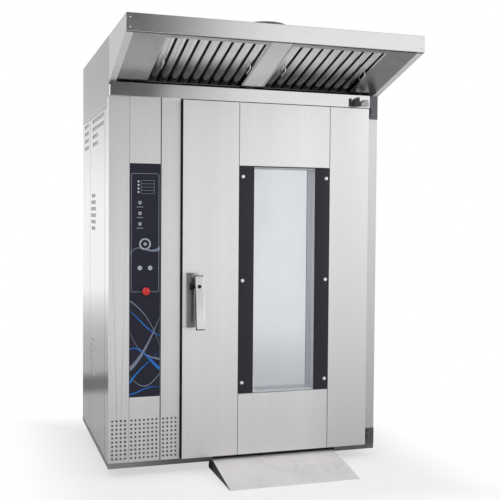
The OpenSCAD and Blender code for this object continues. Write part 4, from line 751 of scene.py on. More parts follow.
# Each finish: its maker, the material's name, a colour or a colour property's
# name, the maker's further numbers in their order, and a dict of named ones.
# For brushed steel they are roughness, axis, marks, grain, dust and fineness;
# for moulded ones roughness, pebbles' scale and bump.
LOOKS = {
    "door skin": (
        brushed_steel, "Door skin steel", "door_steel", 0.34, "Z", 0.2, 0.03,
        # Painted shade: the door darkens towards its right.
        {"fades": [(0, 0.3, 0.55, (222, 221, 222))],
         # Painted shade along the door skins' left edge.
         "zones": [gap_shade_edge("door_skins", (14, 14, 15))]},
    ),
    "column": (
        brushed_steel, "Column steel", "column_steel", 0.32, "Z", 0.22, 0.03, 0.25,
        # Painted shade along the inner column's left edge.
        {"zones": [gap_shade_edge("inner_column", (12, 12, 13))]},
    ),
    "control column": (
        brushed_steel, "Control column steel", "column_steel", 0.32, "Z", 0.22, 0.03, 0.25,
        {"zones": [COLUMN_INSIDE_SHADE]},
    ),
    "jamb": (brushed_steel, "Jamb steel", (203, 202, 203), 0.32, "Z", 0.22, 0.03, 0.25),
    "post": (
        brushed_steel, "Post steel", "column_steel", 0.3, "Z", 0.22, 0.03, 0.25,
        {"rivets": post_screws(), "zones": [COLUMN_INSIDE_SHADE, POST_RETURN_LIGHT]},
    ),
    "hood": (
        brushed_steel, "Hood steel", "hood_steel", 0.15, "X", 0.18, 0.03,
        {"rivets": fascia_rivets(), "rivet_size": 0.0036,
         # Painted shade: the hood darkens behind its fascia's face.
         "fades": [(1, -0.33, -0.29, (168, 168, 169))], "zones": [CANOPY_INSIDE_LIGHT, ROOF]},
    ),
    "header": (
        brushed_steel, "Header steel", "hood_steel", 0.15, "X", 0.18, 0.03,
        # Painted shade: the header darkens towards its left end.
        {"fades": [(0, -0.40, -0.58, (163, 161, 162))]},
    ),
    "soffit": (
        brushed_steel, "Soffit steel", "soffit_steel", 0.24, "X", 0.35, 0.03,
        # Painted shade: the soffit darkens towards its right.
        {"fades": [(0, -0.1, 0.7, (150, 150, 152))], "zones": [SOFFIT_DIVIDER_HIGHLIGHT, SOFFIT_ENDS_LIGHT]},
    ),
    "back": (brushed_steel, "Back panel steel", "side_steel", 0.15, "Z", 0.2, 0.02, 0.3),
    "side": (
        brushed_steel, "Side panel steel", "side_steel", 0.15, "Z", 0.2, 0.02, 0.3,
        {"zones": [PANEL_FOLDS_SHADE]},
    ),
    "liner": (brushed_steel, "Chamber liner steel", (190, 188, 184), 0.3, "Z", 0.5, 0.05),
    "rack": (brushed_steel, "Rack tube steel", (206, 206, 206), 0.2, "Z", 0.3, 0.03, 0.0, 1400.0),
    "runner": (brushed_steel, "Runner steel", (198, 198, 198), 0.24, "Y", 0.35, 0.04, 0.0, 1400.0),
    "frame": (
        brushed_steel, "Base rail steel", (158, 158, 159), 0.33, "X", 0.4, 0.05, 0.4,
        # Painted shade: the base rail darkens away from its left end.
        {"fades": [(0, -0.7, -0.35, (108, 108, 109))]},
    ),
    "polished": (
        brushed_steel, "Turned steel", (205, 205, 206), 0.14, "X", 0.12, 0.02, 0.0, 2000.0,
    ),
    "screw": (brushed_steel, "Screw steel", (250, 250, 250), 0.3, "X", 0.12, 0.02, 0.0, 2000.0),
    "filter": (filter_steel, "Filter steel", (250, 250, 250)),
    "tunnel": (liner_steel, "Door liner steel", (220, 223, 230)),
    "lever": (lever_steel, "Lever steel", "door_steel"),
    "handle plate": (handle_plate_steel, "Handle plate steel", "column_steel"),
    "ramp": (ramp_steel, "Ramp steel", (248, 245, 246)),
    "galvanised": (cast_metal, "Galvanised sheet", (84, 86, 90), 0.42),
    "cast iron": (cast_metal, "Cast iron", (78, 78, 82), 0.6),
    "heater": (cast_metal, "Heat-worn sheath", (98, 88, 82), 0.45),
    "motor casing": (cast_metal, "Die-cast casing", (128, 130, 133), 0.5),
    "wool": (wool_batt, "Mineral wool", (206, 192, 140)),
    "clear pane": (clear_pane, "Outer pane", (250, 251, 251)),
    "pale pane": (reflective_pane, "Inner pane", "pane_tint"),
    "overlay": (overlay_film, "Control overlay film", "overlay_navy"),
    "door switch": (switch_finish, "Door switch finishes", (44, 44, 48)),
    "dark fitting": (moulded, "Dark grey fitting", (96, 97, 100), 0.38, {"Metallic": 0.75}),
    # Painted light: the louvre screens are pale so the shaded louvre pockets read lit.
    "lit louvre mesh": (moulded, "Louvre mesh", (222, 222, 224), 0.6, 900.0, 0.5),
    "mesh": (moulded, "Vent mesh", (116, 116, 118), 0.6, 260.0, 0.8, {"Metallic": 0.3}),
    "motor paint": (moulded, "Motor enamel", (84, 104, 124), 0.35, 300.0, 0.3),
    "black strip": (
        moulded, "Black clamp strip", "strip_black", 0.5, 700.0,
        {"marks": 0.12, "Specular_IOR_Level": 0.15},
    ),
    "rubber": (moulded, "Seal rubber", (34, 34, 36), 0.75, 500.0, 0.4),
    "black plastic": (moulded, "Black plastic", (30, 30, 33), 0.45),
    "pivot black": (moulded, "Pivot block black", (15, 15, 17), 0.6, {"Specular_IOR_Level": 0.15}),
    "red plastic": (
        moulded, "Red button plastic", "emergency_red", 0.28,
        {"marks": 0.15, "Coat_Weight": 0.3, "Coat_Roughness": 0.15},
    ),
    "tyre": (moulded, "Wheel tread", (38, 38, 40), 0.6, 400.0, 0.35),
    "hub": (moulded, "Wheel hub", (120, 122, 126), 0.45, 600.0),
    "lens": (moulded, "Lamp lens", (226, 228, 232), 0.25, {"marks": 0.1, "Coat_Weight": 0.4}),
    "key": (moulded, "Key rubber", (208, 211, 218), 0.4, {"marks": 0.2}),
    "print silver": (
        moulded, "Silver print", (168, 172, 184), 0.42, {"marks": 0.2, "Metallic": 0.35},
    ),
    "print grey": (moulded, "Grey print", (120, 128, 146), 0.4, {"marks": 0.2}),
    "print blue": (moulded, "Blue print", (28, 112, 196), 0.4, {"marks": 0.2}),
}
FINISHES = {}


def finish(name):
    """A finish by name, made once when first asked for."""
    if name not in FINISHES:
        maker, label, colour, *values = LOOKS[name]
        named = values.pop() if values and isinstance(values[-1], dict) else {}
        FINISHES[name] = maker(label, colour, *values, **named)
    return FINISHES[name]


def paint(look, *names):
    """Gives CAD nodes a finish by filling their material slots."""
    for name in names:
        slots = NODES[name].data.materials
        slots.clear()
        slots.append(finish(look))


def soften(width, *names):
    """Rounds the sharp edges of CAD nodes: their triangles are welded, then bevelled."""
    for name in names:
        weld = NODES[name].modifiers.new("Joined triangles", "WELD")
        weld.merge_threshold = 0.01 * MM
        edge = NODES[name].modifiers.new("Soft edges", "BEVEL")
        edge.width, edge.segments, edge.limit_method = width, 1, "ANGLE"
        edge.angle_limit = math.radians(50)


# --------------------------------------------------------------- properties
def colour_property(name, description, default):
    return bpy.props.FloatVectorProperty(
        name=name, description=description, subtype="COLOR", size=3, min=0, max=1,
        default=linear(default)[:3],
    )


def length_property(name, description, default):
    return bpy.props.FloatProperty(
        name=name, description=description, unit="LENGTH", default=default, min=0
    )


def number_property(name, description, default):
    return bpy.props.FloatProperty(name=name, description=description, default=default)


class OvenFinish(bpy.types.PropertyGroup):
    """Colours of the visible finishes."""

    door_steel: colour_property("Door steel", "Colour of the door and lever", (238, 237, 238))
    column_steel: colour_property("Column steel", "Colour of the front columns", (230, 229, 230))
    hood_steel: colour_property("Hood steel", "Colour of the hood and header", (228, 228, 229))
    side_steel: colour_property("Side steel", "Colour of the side and back panels", (234, 234, 235))
    soffit_steel: colour_property("Soffit steel", "Colour of the hood's underside", (208, 208, 209))
    overlay_navy: colour_property("Overlay navy", "Colour of the control overlay", (38, 39, 52))
    strip_black: colour_property("Strip black", "Colour of the clamp strips", (50, 49, 56))
    pane_tint: colour_property("Pane tint", "Tint of the inner pane", (232, 234, 238))
    emergency_red: colour_property("Emergency red", "Colour of the emergency button", (206, 44, 46))


class OvenControls(bpy.types.PropertyGroup):
    """Sizes of the pieces on the front."""

    film_thickness: length_property("Film thickness", "Thickness of the control overlay", 0.003)
    lamp_radius: length_property("Lamp radius", "Radius of the indicator lamps", 0.0044)
    frame_line: length_property("Frame line", "Width of the printed frame line", 0.0016)
    screw_radius: length_property("Screw radius", "Radius of the clamp screws' heads", 0.0060)
    soffit_screw: length_property("Soffit screw", "Radius of the soffit screws' heads", 0.0045)


class OvenStage(bpy.types.PropertyGroup):
    """Camera and light."""

    focal_length: number_property("Focal length", "Camera's focal length in mm", 66.392)
    key_power: number_property("Key power", "Watts of the main soft light", 120.0)
    fill_power: number_property("Fill power", "Watts of the side light", 60.0)
    world_strength: number_property("World strength", "Strength of the studio's surround", 1.0)


# ---------------------------------------------------------------- operators
class OvenOperator(bpy.types.Operator):
    """Finishes the CAD nodes that it lists, then builds its pieces"""

    bl_options = {"REGISTER", "UNDO"}
    finished = {}

    def execute(self, context):
        for look, names in self.finished.items():
            paint(look, *names.split())
        self.pieces(context.scene)
        return {"FINISHED"}

    def pieces(self, scene):
        """Nothing but finishes, unless the operator builds pieces too."""


class OVEN_OT_sheet_metal(OvenOperator):
    """Gives the carried-over sheet metal, frame, inner parts, seal and switch their finishes"""

    bl_idname = "oven.sheet_metal"
    bl_label = "Sheet metal"
    finished = {
        "column": "inner_column",
        "control column": "control_column",
        "jamb": "right_jamb",
        "post": "left_post",
        "side": "left_side_panels right_side_panel",
        "back": "back_panel",
        "hood": "hood_canopy",
        "header": "header_rail",
        "soffit": "hood_soffit",
        "filter": "filter_left filter_right",
        "door skin": "door_skins",
        "tunnel": "door_pan",
        "liner": "oven_chamber air_wall steam_flue circulation_fan lift_carrier",
        "frame": "base_frame",
        "ramp": "ramp",
        "dark fitting": "door_hardware drive_frame bearing_yoke latch_bolt damper_flap",
        "galvanised": "duct_collar",
        "polished": "lift_shaft",
        "cast iron": "drive_pinion humidifier",
        "heater": "heating_elements",
        "motor paint": "gearmotor",
        "motor casing": "fan_motor",
        "wool": "insulation door_wool",
        "black plastic": "levelling_feet service_fittings",
        "rubber": "door_seal",
        "door switch": "door_switch",
    }

    def pieces(self, scene):
        soften(0.8 * MM, "left_post", "hood_canopy", "header_rail", "door_skins")
        soften(0.8 * MM, "left_side_panels", "right_side_panel")


class OVEN_OT_rack(OvenOperator):
    """Finishes the rack and gives its casters treads and hubs"""

    bl_idname = "oven.rack"
    bl_label = "Rack and casters"
    finished = {
        "rack": "rack_frame_left rack_frame_right rack_cross_tubes rack_base",
        "runner": "tray_runners",
        "polished": "caster_fork_1 caster_fork_2 caster_fork_3 caster_fork_4",
    }

    def pieces(self, scene):
        for n in range(1, 5):
            axle = joint(f"caster_roll_{n}")
            wheel = f"caster_wheel_{n}"
            tread, hub = lathe(self.tread(), *axle, 64), lathe(self.hub(), *axle, 48)
            build(f"wheel_tread_{n}", [tread], "tyre", wheel)
            build(f"wheel_hub_{n}", [hub], "hub", wheel, wheel)

    def tread(self):
        """Closed ring profile: flat flanks, and a crown r = 50 - 2.2 (h/15)^4 mm."""
        h = np.linspace(-15, 15, 15)
        outer = np.stack([50 - 2.2 * np.abs(h / 15) ** 4, h * 0.985], -1)
        inner = np.array([[38.5, 14.6], [37.6, 13.2], [37.6, -13.2], [38.5, -14.6]])
        ring = np.concatenate([outer, inner])
        return np.concatenate([ring, ring[:1]]) * MM

    def hub(self):
        """Closed ring profile: a boss, a dished web and a rim under the tread."""
        rim = [[37.5, 12.6], [35.0, 13.6], [33.0, 12.8], [31.5, 8.4]]
        web = [[27.0, 6.6], [18.0, 6.6], [14.6, 8.0]]
        boss = [[13.2, 14.6], [12.0, 15.9], [5.1, 15.9]]
        half = np.array(rim + web + boss)
        ring = np.concatenate([half, half[::-1] * [1, -1]])
        return np.concatenate([ring, ring[:1]]) * MM


class OVEN_OT_window(OvenOperator):
    """Builds the two panes, the clamp strips and their cap screws"""

    bl_idname = "oven.window"
    bl_label = "Window"

    def pieces(self, scene):
        thick, rounding = 0.006, 0.0012
        inset = np.array([0.0715, 0.0, 0.0015])
        lo, hi = corners("door_glass")
        outer = rounded_block(lo, [hi[0], lo[1] + thick, hi[2]], rounding)
        inner = rounded_block([lo[0], hi[1] - thick, lo[2]] + inset, hi - inset, rounding)
        build("outer_pane", [outer], "clear pane", "door")
        build("inner_pane", [inner], "pale pane", "door", "door_glass")
        lo, hi = corners("window_clamps")
        face, back = lo[1] + thick, hi[1]
        width, gap = 0.0835, 0.0005
        left, right = lo[0] + width, hi[0] - width
        inner = [left + gap, face + 0.001, hi[2] - 0.004], [right - gap, back, hi[2]]
        strips = [
            rounded_block([lo[0], face, lo[2]], [left, back, hi[2]], 0.0008),
            rounded_block([right, face, lo[2]], [hi[0], back, hi[2]], 0.0008),
            rounded_block(*inner, 0.0006),
        ]
        build("clamp_strips", strips, "black strip", "door", "window_clamps")
        heights = (lo[2] + 0.059, (lo[2] + hi[2]) / 2 - 0.002, hi[2] - 0.057)
        spots = [[x, face, z] for x in (lo[0] + 0.0215, hi[0] - 0.0195) for z in heights]
        head = lathe(self.cap_screw(scene.oven_controls.screw_radius), ORIGIN, turns=36)
        build("clamp_screws", [repeat(head, spots)], "screw", "door")

    def cap_screw(self, r):
        """Profile of a washer, a head with a rounded rim, and a socket sunk into it."""
        washer = [[0, 0], [r * 1.55, 0], [r * 1.6, 0.0006], [r * 1.5, 0.0014]]
        head = [[r, 0.0015], [r, 0.0048], [r * 0.9, 0.0056], [r * 0.55, 0.0058]]
        return washer + head + [[r * 0.5, 0.0030], [0, 0.0027]]


class OVEN_OT_handle(OvenOperator):
    """Builds the handle's folded base, pivot block, channel lever and plug"""

    bl_idname = "oven.handle"
    bl_label = "Door handle"

    def pieces(self, scene):
        depth = 0.022
        lo, hi = corners("handle_base")
        pivot = joint("handle_pivot")[0]
        self.base(lo, hi, depth)
        front = hi[1] - depth + 0.0005
        low, high = pivot - [0.020, 0.009, 0.016], pivot + [-0.004, 0, 0.016]
        high[1] = front
        block = rounded_block(low, high, 0.003)
        build("handle_block", [block], "pivot black", "door")
        self.lever(pivot)

    def base(self, lo, hi, depth):
        """Folded section in X and Y carried up Z, a little smaller at its two ends."""
        flange, fold, rim = 0.003, 0.014, 0.0006
        left = [[0, 0], [0, 0.0026], [rim, flange], [fold, flange], [0.017, 0.0042],
                [0.0235, depth - 0.003], [0.026, depth - 0.0006], [0.028, depth]]
        right = [[-0.008, depth], [-0.0045, depth - 0.001], [-0.0015, depth - 0.004],
                 [0, depth - 0.008], [0, 0.001], [0, 0]]
        section = np.concatenate([np.array(left) + [lo[0], 0], np.array(right) + [hi[0], 0]])
        z = np.array([lo[2], lo[2] + rim, hi[2] - rim, hi[2]])
        shrink = np.array([0.02, 0.0, 0.0, 0.02])[:, None, None]
        ring = section + (section.mean(0) - section) * shrink
        height = np.broadcast_to(z[:, None], ring.shape[:2])
        rings = np.stack([ring[..., 0], hi[1] - ring[..., 1], height], -1)
        part = capped_tube(rings)
        build("handle_plate", [part], "handle plate", "door", "handle_base", 50)

    def lever(self, pivot):
        """Pressed channel: a dished plate whose rim turns back all round."""
        width, rim, deep = 0.046, -0.0015, LEVER_DEEP
        half_w, half_h = width / 2, LEVER_LENGTH / 2
        centre = pivot + [half_w, 0, LEVER_TOP - half_h]
        outer = [(0.0, rim, 0.0016), (0.0, 0.0007 - deep, 0.0016),
                 (0.0002, 0.0002 - deep, 0.0016), (0.0007, -deep, 0.0014)]
        inner = [(0.0026, 0.002 - deep, 0.001), (0.002, 0.0026 - deep, 0.001), (0.002, rim, 0.001)]
        rings = np.stack([
            rounded_rectangle(centre + [0, y, 0], half_w - inset, half_h - inset, radius)
            for inset, y, radius in outer + inner
        ])
        count = rings.shape[1]
        front, back, last = (len(outer) - 1) * count, len(outer) * count, (len(rings) - 1) * count
        around = np.arange(count)
        lip = np.stack([around, (around + 1) % count], -1)
        faces = [
            grid_faces(len(outer), count, closed_cols=True),
            grid_faces(len(inner), count, closed_cols=True) + back,
            np.concatenate([lip, lip[:, ::-1] + last], 1),
            cap_faces(front, count),
            cap_faces(back, count),
        ]
        channel = rings.reshape(-1, 3), np.concatenate(faces)
        ear = lathe(cylinder(0.009, 0.002), ORIGIN, ACROSS, 32)
        ears = repeat(ear, [pivot, pivot + [width - 0.002, 0, 0]])
        parts = [tilt_about_x(part, pivot, LEVER_LEAN) for part in (channel, ears)]
        build("lever_channel", parts, "lever", "handle_lever", "handle_lever")
        plug = [[0, 0], [0.0102, 0], [0.0102, 0.0022], [0.0092, 0.0032], [0.0055, 0.0036],
                [0.0048, 0.0030], [0, 0.0028]]
        plug = lathe(plug, pivot + [half_w, 0.0006 - deep, 0], turns=40)
        pin = lathe(cylinder(0.005, 0.067), pivot - [0.019, 0, 0], ACROSS, 28)
        parts = [tilt_about_x(plug, pivot, LEVER_LEAN), pin]
        build("lever_plug", parts, "black plastic", "handle_lever")


class OVEN_OT_controls(OvenOperator):
    """Builds the overlay's film details, lamps, buttons and generic printed curves"""

    bl_idname = "oven.controls"
    bl_label = "Control overlay"
    finished = {"overlay": "control_overlay"}

    def pieces(self, scene):
        self.lo, self.hi = corners("control_overlay")
        self.face = overlay_face()
        self.art()
        self.lines(scene.oven_controls.frame_line)
        self.lamps(scene.oven_controls.lamp_radius)
        self.dial()
        self.buttons()

    def at(self, u, w):
        """A point of the overlay in X and Z from 0-1 across and 0-1 up."""
        return (self.lo + (self.hi - self.lo) * [u, 0, w])[::2]

    def mount(self, name, parts, look):
        """A piece that stays on the overlay."""
        build(f"overlay_{name}", parts, look, "root")

    def art(self):
        """Generic crossing curves in blue and grey, low on the film."""
        edge = 0.6 * MM
        span = (self.lo[0] + edge, self.hi[0] - edge)
        blue = [
            ([(0.0, 0.372), (0.35, 0.335), (0.55, 0.285), (1.0, 0.262)], (0.002, 0.006, 0.003)),
            ([(0.0, 0.205), (0.30, 0.235), (0.70, 0.150), (1.0, 0.118)], (0.004, 0.009, 0.016)),
            ([(0.0, 0.060), (0.30, 0.125), (0.62, 0.142), (1.0, 0.196)], (0.010, 0.005, 0.001)),
            ([(0.0, 0.012), (0.38, 0.022), (0.66, 0.055), (1.0, 0.036)], (0.007, 0.005, 0.001)),
        ]
        grey = [
            ([(0.0, 0.415), (0.42, 0.375), (0.72, 0.330), (1.0, 0.215)], (0.006, 0.004, 0.001)),
            ([(0.0, 0.120), (0.42, 0.170), (0.70, 0.250), (1.0, 0.345)], (0.020, 0.011, 0.001)),
            ([(0.0, 0.285), (0.25, 0.190), (0.60, 0.172), (1.0, 0.160)], (0.002, 0.004, 0.011)),
            ([(0.0, 0.095), (0.45, 0.012), (0.70, 0.050), (1.0, 0.098)], (0.001, 0.005, 0.003)),
        ]
        high = [([(0.0, 0.610), (0.25, 0.680), (0.62, 0.600), (1.0, 0.640)], (0.004, 0.006, 0.018))]
        for name, look, group in (
            ("blue", "print blue", blue),
            ("grey", "print grey", grey),
            ("high", "print grey", high),
        ):
            parts = [
                ribbon([self.at(*p) for p in points], widths, self.face, span)
                for points, widths in group
            ]
            self.mount(f"curves_{name}", parts, look)

    def lines(self, width):
        """Thin printed frame and the lamp table's outline with its three rules."""
        height, half = 0.3 * MM, width / 2
        flat = np.array([[-half, 0], [half, 0], [half, height], [-half, height]])
        fine = flat * [0.6, 1]
        y = self.face - 0.03 * MM
        low, high = self.at(0.05, 0.452), self.at(0.95, 0.957)
        middle, size = (low + high) / 2, (high - low) / 2
        parts = [sweep(rounded_rectangle([middle[0], y, middle[1]], *size, 0.008), flat)]
        x, z = self.lo[0] + 0.092, self.lo[2] + 1.0975
        parts.append(sweep(rounded_rectangle([x, y, z], 0.034, 0.0345, 0.002), fine))
        for k in (-1, 0, 1):
            level = z + 0.0172 * k
            rule = np.linspace([x - 0.0335, y, level], [x + 0.0335, y, level], 4)
            parts.append(sweep(rule, fine, closed=False))
        self.mount("lines", parts, "print silver")

    def lamps(self, radius):
        """Four domed lenses, h = 2 mm * sqrt(1 - (r / R)^2), and three round keys under them."""
        foot = -0.4 * MM
        collar = [[0, foot], [radius * 1.12, foot], [radius * 1.12, 0.6 * MM]]
        lens = np.concatenate([collar, dome(radius, 2 * MM, 7) + [0, 0.6 * MM]])
        lens = lathe(lens, ORIGIN, turns=28)
        top = self.lo[0] + 0.044, self.face - 0.2 * MM, self.lo[2] + 1.126
        self.mount("lamps", [repeat(lens, self.column(top, 0.0183, 4))], "lens")
        ring = np.array([[4.6, 0], [8.4, 0], [8.6, 0.8], [8.0, 1.9], [6.6, 2.3], [5.2, 1.9],
                         [4.6, 1.0], [4.6, 0]])
        dot = np.array([[0, 0], [4.4, 0], [4.2, 0.8], [2.8, 1.2], [0, 1.4]])
        top = self.lo[0] + 0.052, self.face - 0.1 * MM, self.lo[2] + 1.016
        spots = self.column(top, 0.055, 3)
        self.mount("keys", [repeat(lathe(ring * MM, ORIGIN, turns=32), spots)], "key")
        self.mount("key_dots", [repeat(lathe(dot * MM, ORIGIN, turns=24), spots)], "black plastic")

    def column(self, top, step, count):
        """Places one below the other."""
        return np.array(top) - np.outer(np.arange(count) * step, [0, 0, 1])

    def dial(self):
        """Four crowned arc pads round a centre key."""
        inner, across, crown, sunk = 0.0225, 0.0080, 1.0 * MM, 0.8 * MM
        centre = np.array([self.lo[0] + 0.079, self.face - 1.8 * MM, self.lo[2] + 0.801])
        parts = []
        s = np.linspace(0, 1, 9)
        lift = crown * np.sqrt(np.clip(1 - (2 * s - 1) ** 2, 0, 1))
        r = inner + across * s
        for q in range(4):
            a = np.radians(np.linspace(8, 82, 20) + q * 90)[:, None]
            top = np.stack(np.broadcast_arrays(r * np.cos(a), -lift, r * np.sin(a)), -1) + centre
            base = top.copy()
            base[..., 1] = centre[1] + sunk
            parts.append(capped_tube(np.concatenate([top, base[:, ::-1]], 1)))
        key = np.array([[0, -0.8], [8.8, -0.8], [9.0, 0.0], [8.4, 1.2], [6.0, 1.8], [0, 1.8]])
        parts.append(lathe(key * MM, centre, turns=36))
        self.mount("dial", parts, "print silver")

    def button(self, name):
        """Centre and radius of a button."""
        lo, hi = corners(name)
        return (lo + hi) / 2, (hi[0] - lo[0]) / 2

    def buttons(self):
        """Dished start and stop caps, and the mushroom head with its collar."""
        for name in ("start_button", "stop_button"):
            (x, _, z), r = self.button(name)
            front, rear = (corner[1] for corner in corners(name))
            deep = self.face + 0.0026 - front
            cap = [[0, 0], [r, 0], [r, deep - 0.0012], [r - 0.0008, deep - 0.0003],
                   [r - 0.002, deep], [r * 0.7, deep - 0.0004], [r * 0.35, deep - 0.0009],
                   [0, deep - 0.001]]
            cap = lathe(cap, [x, front + deep, z], turns=40)
            stem = lathe(cylinder(0.0039, 0.008), [x, rear, z], turns=20)
            build(f"{name}_cap", [cap, stem], "key", name, name)
            dot = [[0, 0], [0.0034, 0], [0.0032, 0.0006], [0.0018, 0.0009], [0, 0.0010]]
            dot = lathe(dot, [x, front + 0.0012, z], turns=24)
            build(f"{name}_mark", [dot], "black plastic", name)
        name = "emergency_button"
        (x, _, z), r = self.button(name)
        collar = [[0, -0.018], [0.0098, -0.018], [0.0098, 0.0]]
        rim = [[r - 0.003, 0.0], [r - 0.001, 0.0008], [r, 0.0024], [r, 0.0062],
               [r - 0.0008, 0.0082]]
        crown = [[r - 0.0026, 0.0098], [r - 0.0075, 0.0121], [r * 0.42, 0.0134],
                 [r * 0.2, 0.0139], [0, 0.014]]
        head = lathe(collar + rim + crown, [x, self.face - 0.010, z], turns=64)
        build("emergency_head", [head], "red plastic", name, name)


def dome(radius, height, count):
    """Profile of a dome (R cos a, H sin a) from its rim to its top on the axis."""
    a = np.linspace(0, np.pi / 2, count)
    profile = np.stack([radius * np.cos(a), height * np.sin(a)], -1)
    profile[-1, 0] = 0
    return profile


class OVEN_OT_fixings(OvenOperator):
    """Adds the cap screws along the soffit's two edges"""

    bl_idname = "oven.fixings"
    bl_label = "Soffit screws"

    def pieces(self, scene):
        r, foot = scene.oven_controls.soffit_screw, -0.4 * MM
        lo, hi = corners("hood_soffit")
        run, drop = (hi - lo)[1:]
        down = [0.0, -drop, -run]
        profile = np.concatenate([[[0, foot], [r, foot]], dome(r, 1.8 * MM, 5)])
        head = lathe(profile, ORIGIN, down, 20)
        places = (lo[0] + 0.016, lo[0] + 0.095, 0.0, hi[0] - 0.095, hi[0] - 0.016)
        spots = [[x, lo[1] + run * t, hi[2] - drop * t] for x in places for t in (0.035, 0.965)]
        build("soffit_screws", [repeat(head, spots)], "polished", "root")


class OVEN_OT_screens(OvenOperator):
    """Builds the insect screens behind the louvres, pale as painted light in their pockets, and the
    columns' vent holes
    """

    bl_idname = "oven.screens"
    bl_label = "Vent screens"

    def pieces(self, scene):
        x0, over, under, above = corners("left_side_panels")[0][0] + 0.0035, 0.001, 0.0034, 0.0125
        x1, edge = x0 + 0.0004, 0.0002
        strips = [
            rounded_block([x0, y0 - over, z - under], [x1, y1 + over, z + above], edge, 1)
            for y0, y1, z in self.louvres()
        ]
        # Painted light: the screens are pale so the louvres' shaded pockets read lit.
        build("louvre_screens", strips, "lit louvre mesh", "root")
        clear, back, thick, low, high = 0.0024, 0.0075, 0.0008, 0.006, 0.236
        sheets = []
        for name in ("left_post", "control_column", "inner_column"):
            lo, hi = corners(name)
            y = lo[1] + back
            near = [lo[0] + clear, y, lo[2] + low]
            sheets.append(crimped_sheet(near, [hi[0] - clear, y + thick, lo[2] + high]))
        build("column_screens", sheets, "mesh", "root")

    def louvres(self):
        """Each louvre of the left side as (y0, y1, z): long rows, short rows, lens-shaped groups.

        A lens has half lengths 116 - 8 (|k - 2.5| - 0.5)^2 mm for its rows k = 0 to 5.
        """
        step, lens_step, margin = 0.044, 0.0375, 0.004
        lo, hi = corners("left_side_panels")
        joint_y = lo[1] + (hi[1] - lo[1]) * 0.63
        y0, y1, y2 = lo[1], joint_y - margin, joint_y + margin
        top = hi[2] - 0.022
        rows = [(y0 + 0.036, y1 - 0.102, top - step * k) for k in (0, 1)]
        rows += [(y0 + (y1 - y0) * 0.45, y1 - 0.126, top - step * k) for k in (2, 3)]
        rows += [(y2 + 0.070, hi[1] - 0.102, top - step * k) for k in range(4)]
        centre = y0 + (y1 - y0) * 0.75
        for z in (0.548, 1.391):
            for k in np.arange(6) - 2.5:
                half = 0.116 - 0.008 * (abs(k) - 0.5) ** 2
                rows.append((centre - half, centre + half, z + lens_step * k))
        return rows


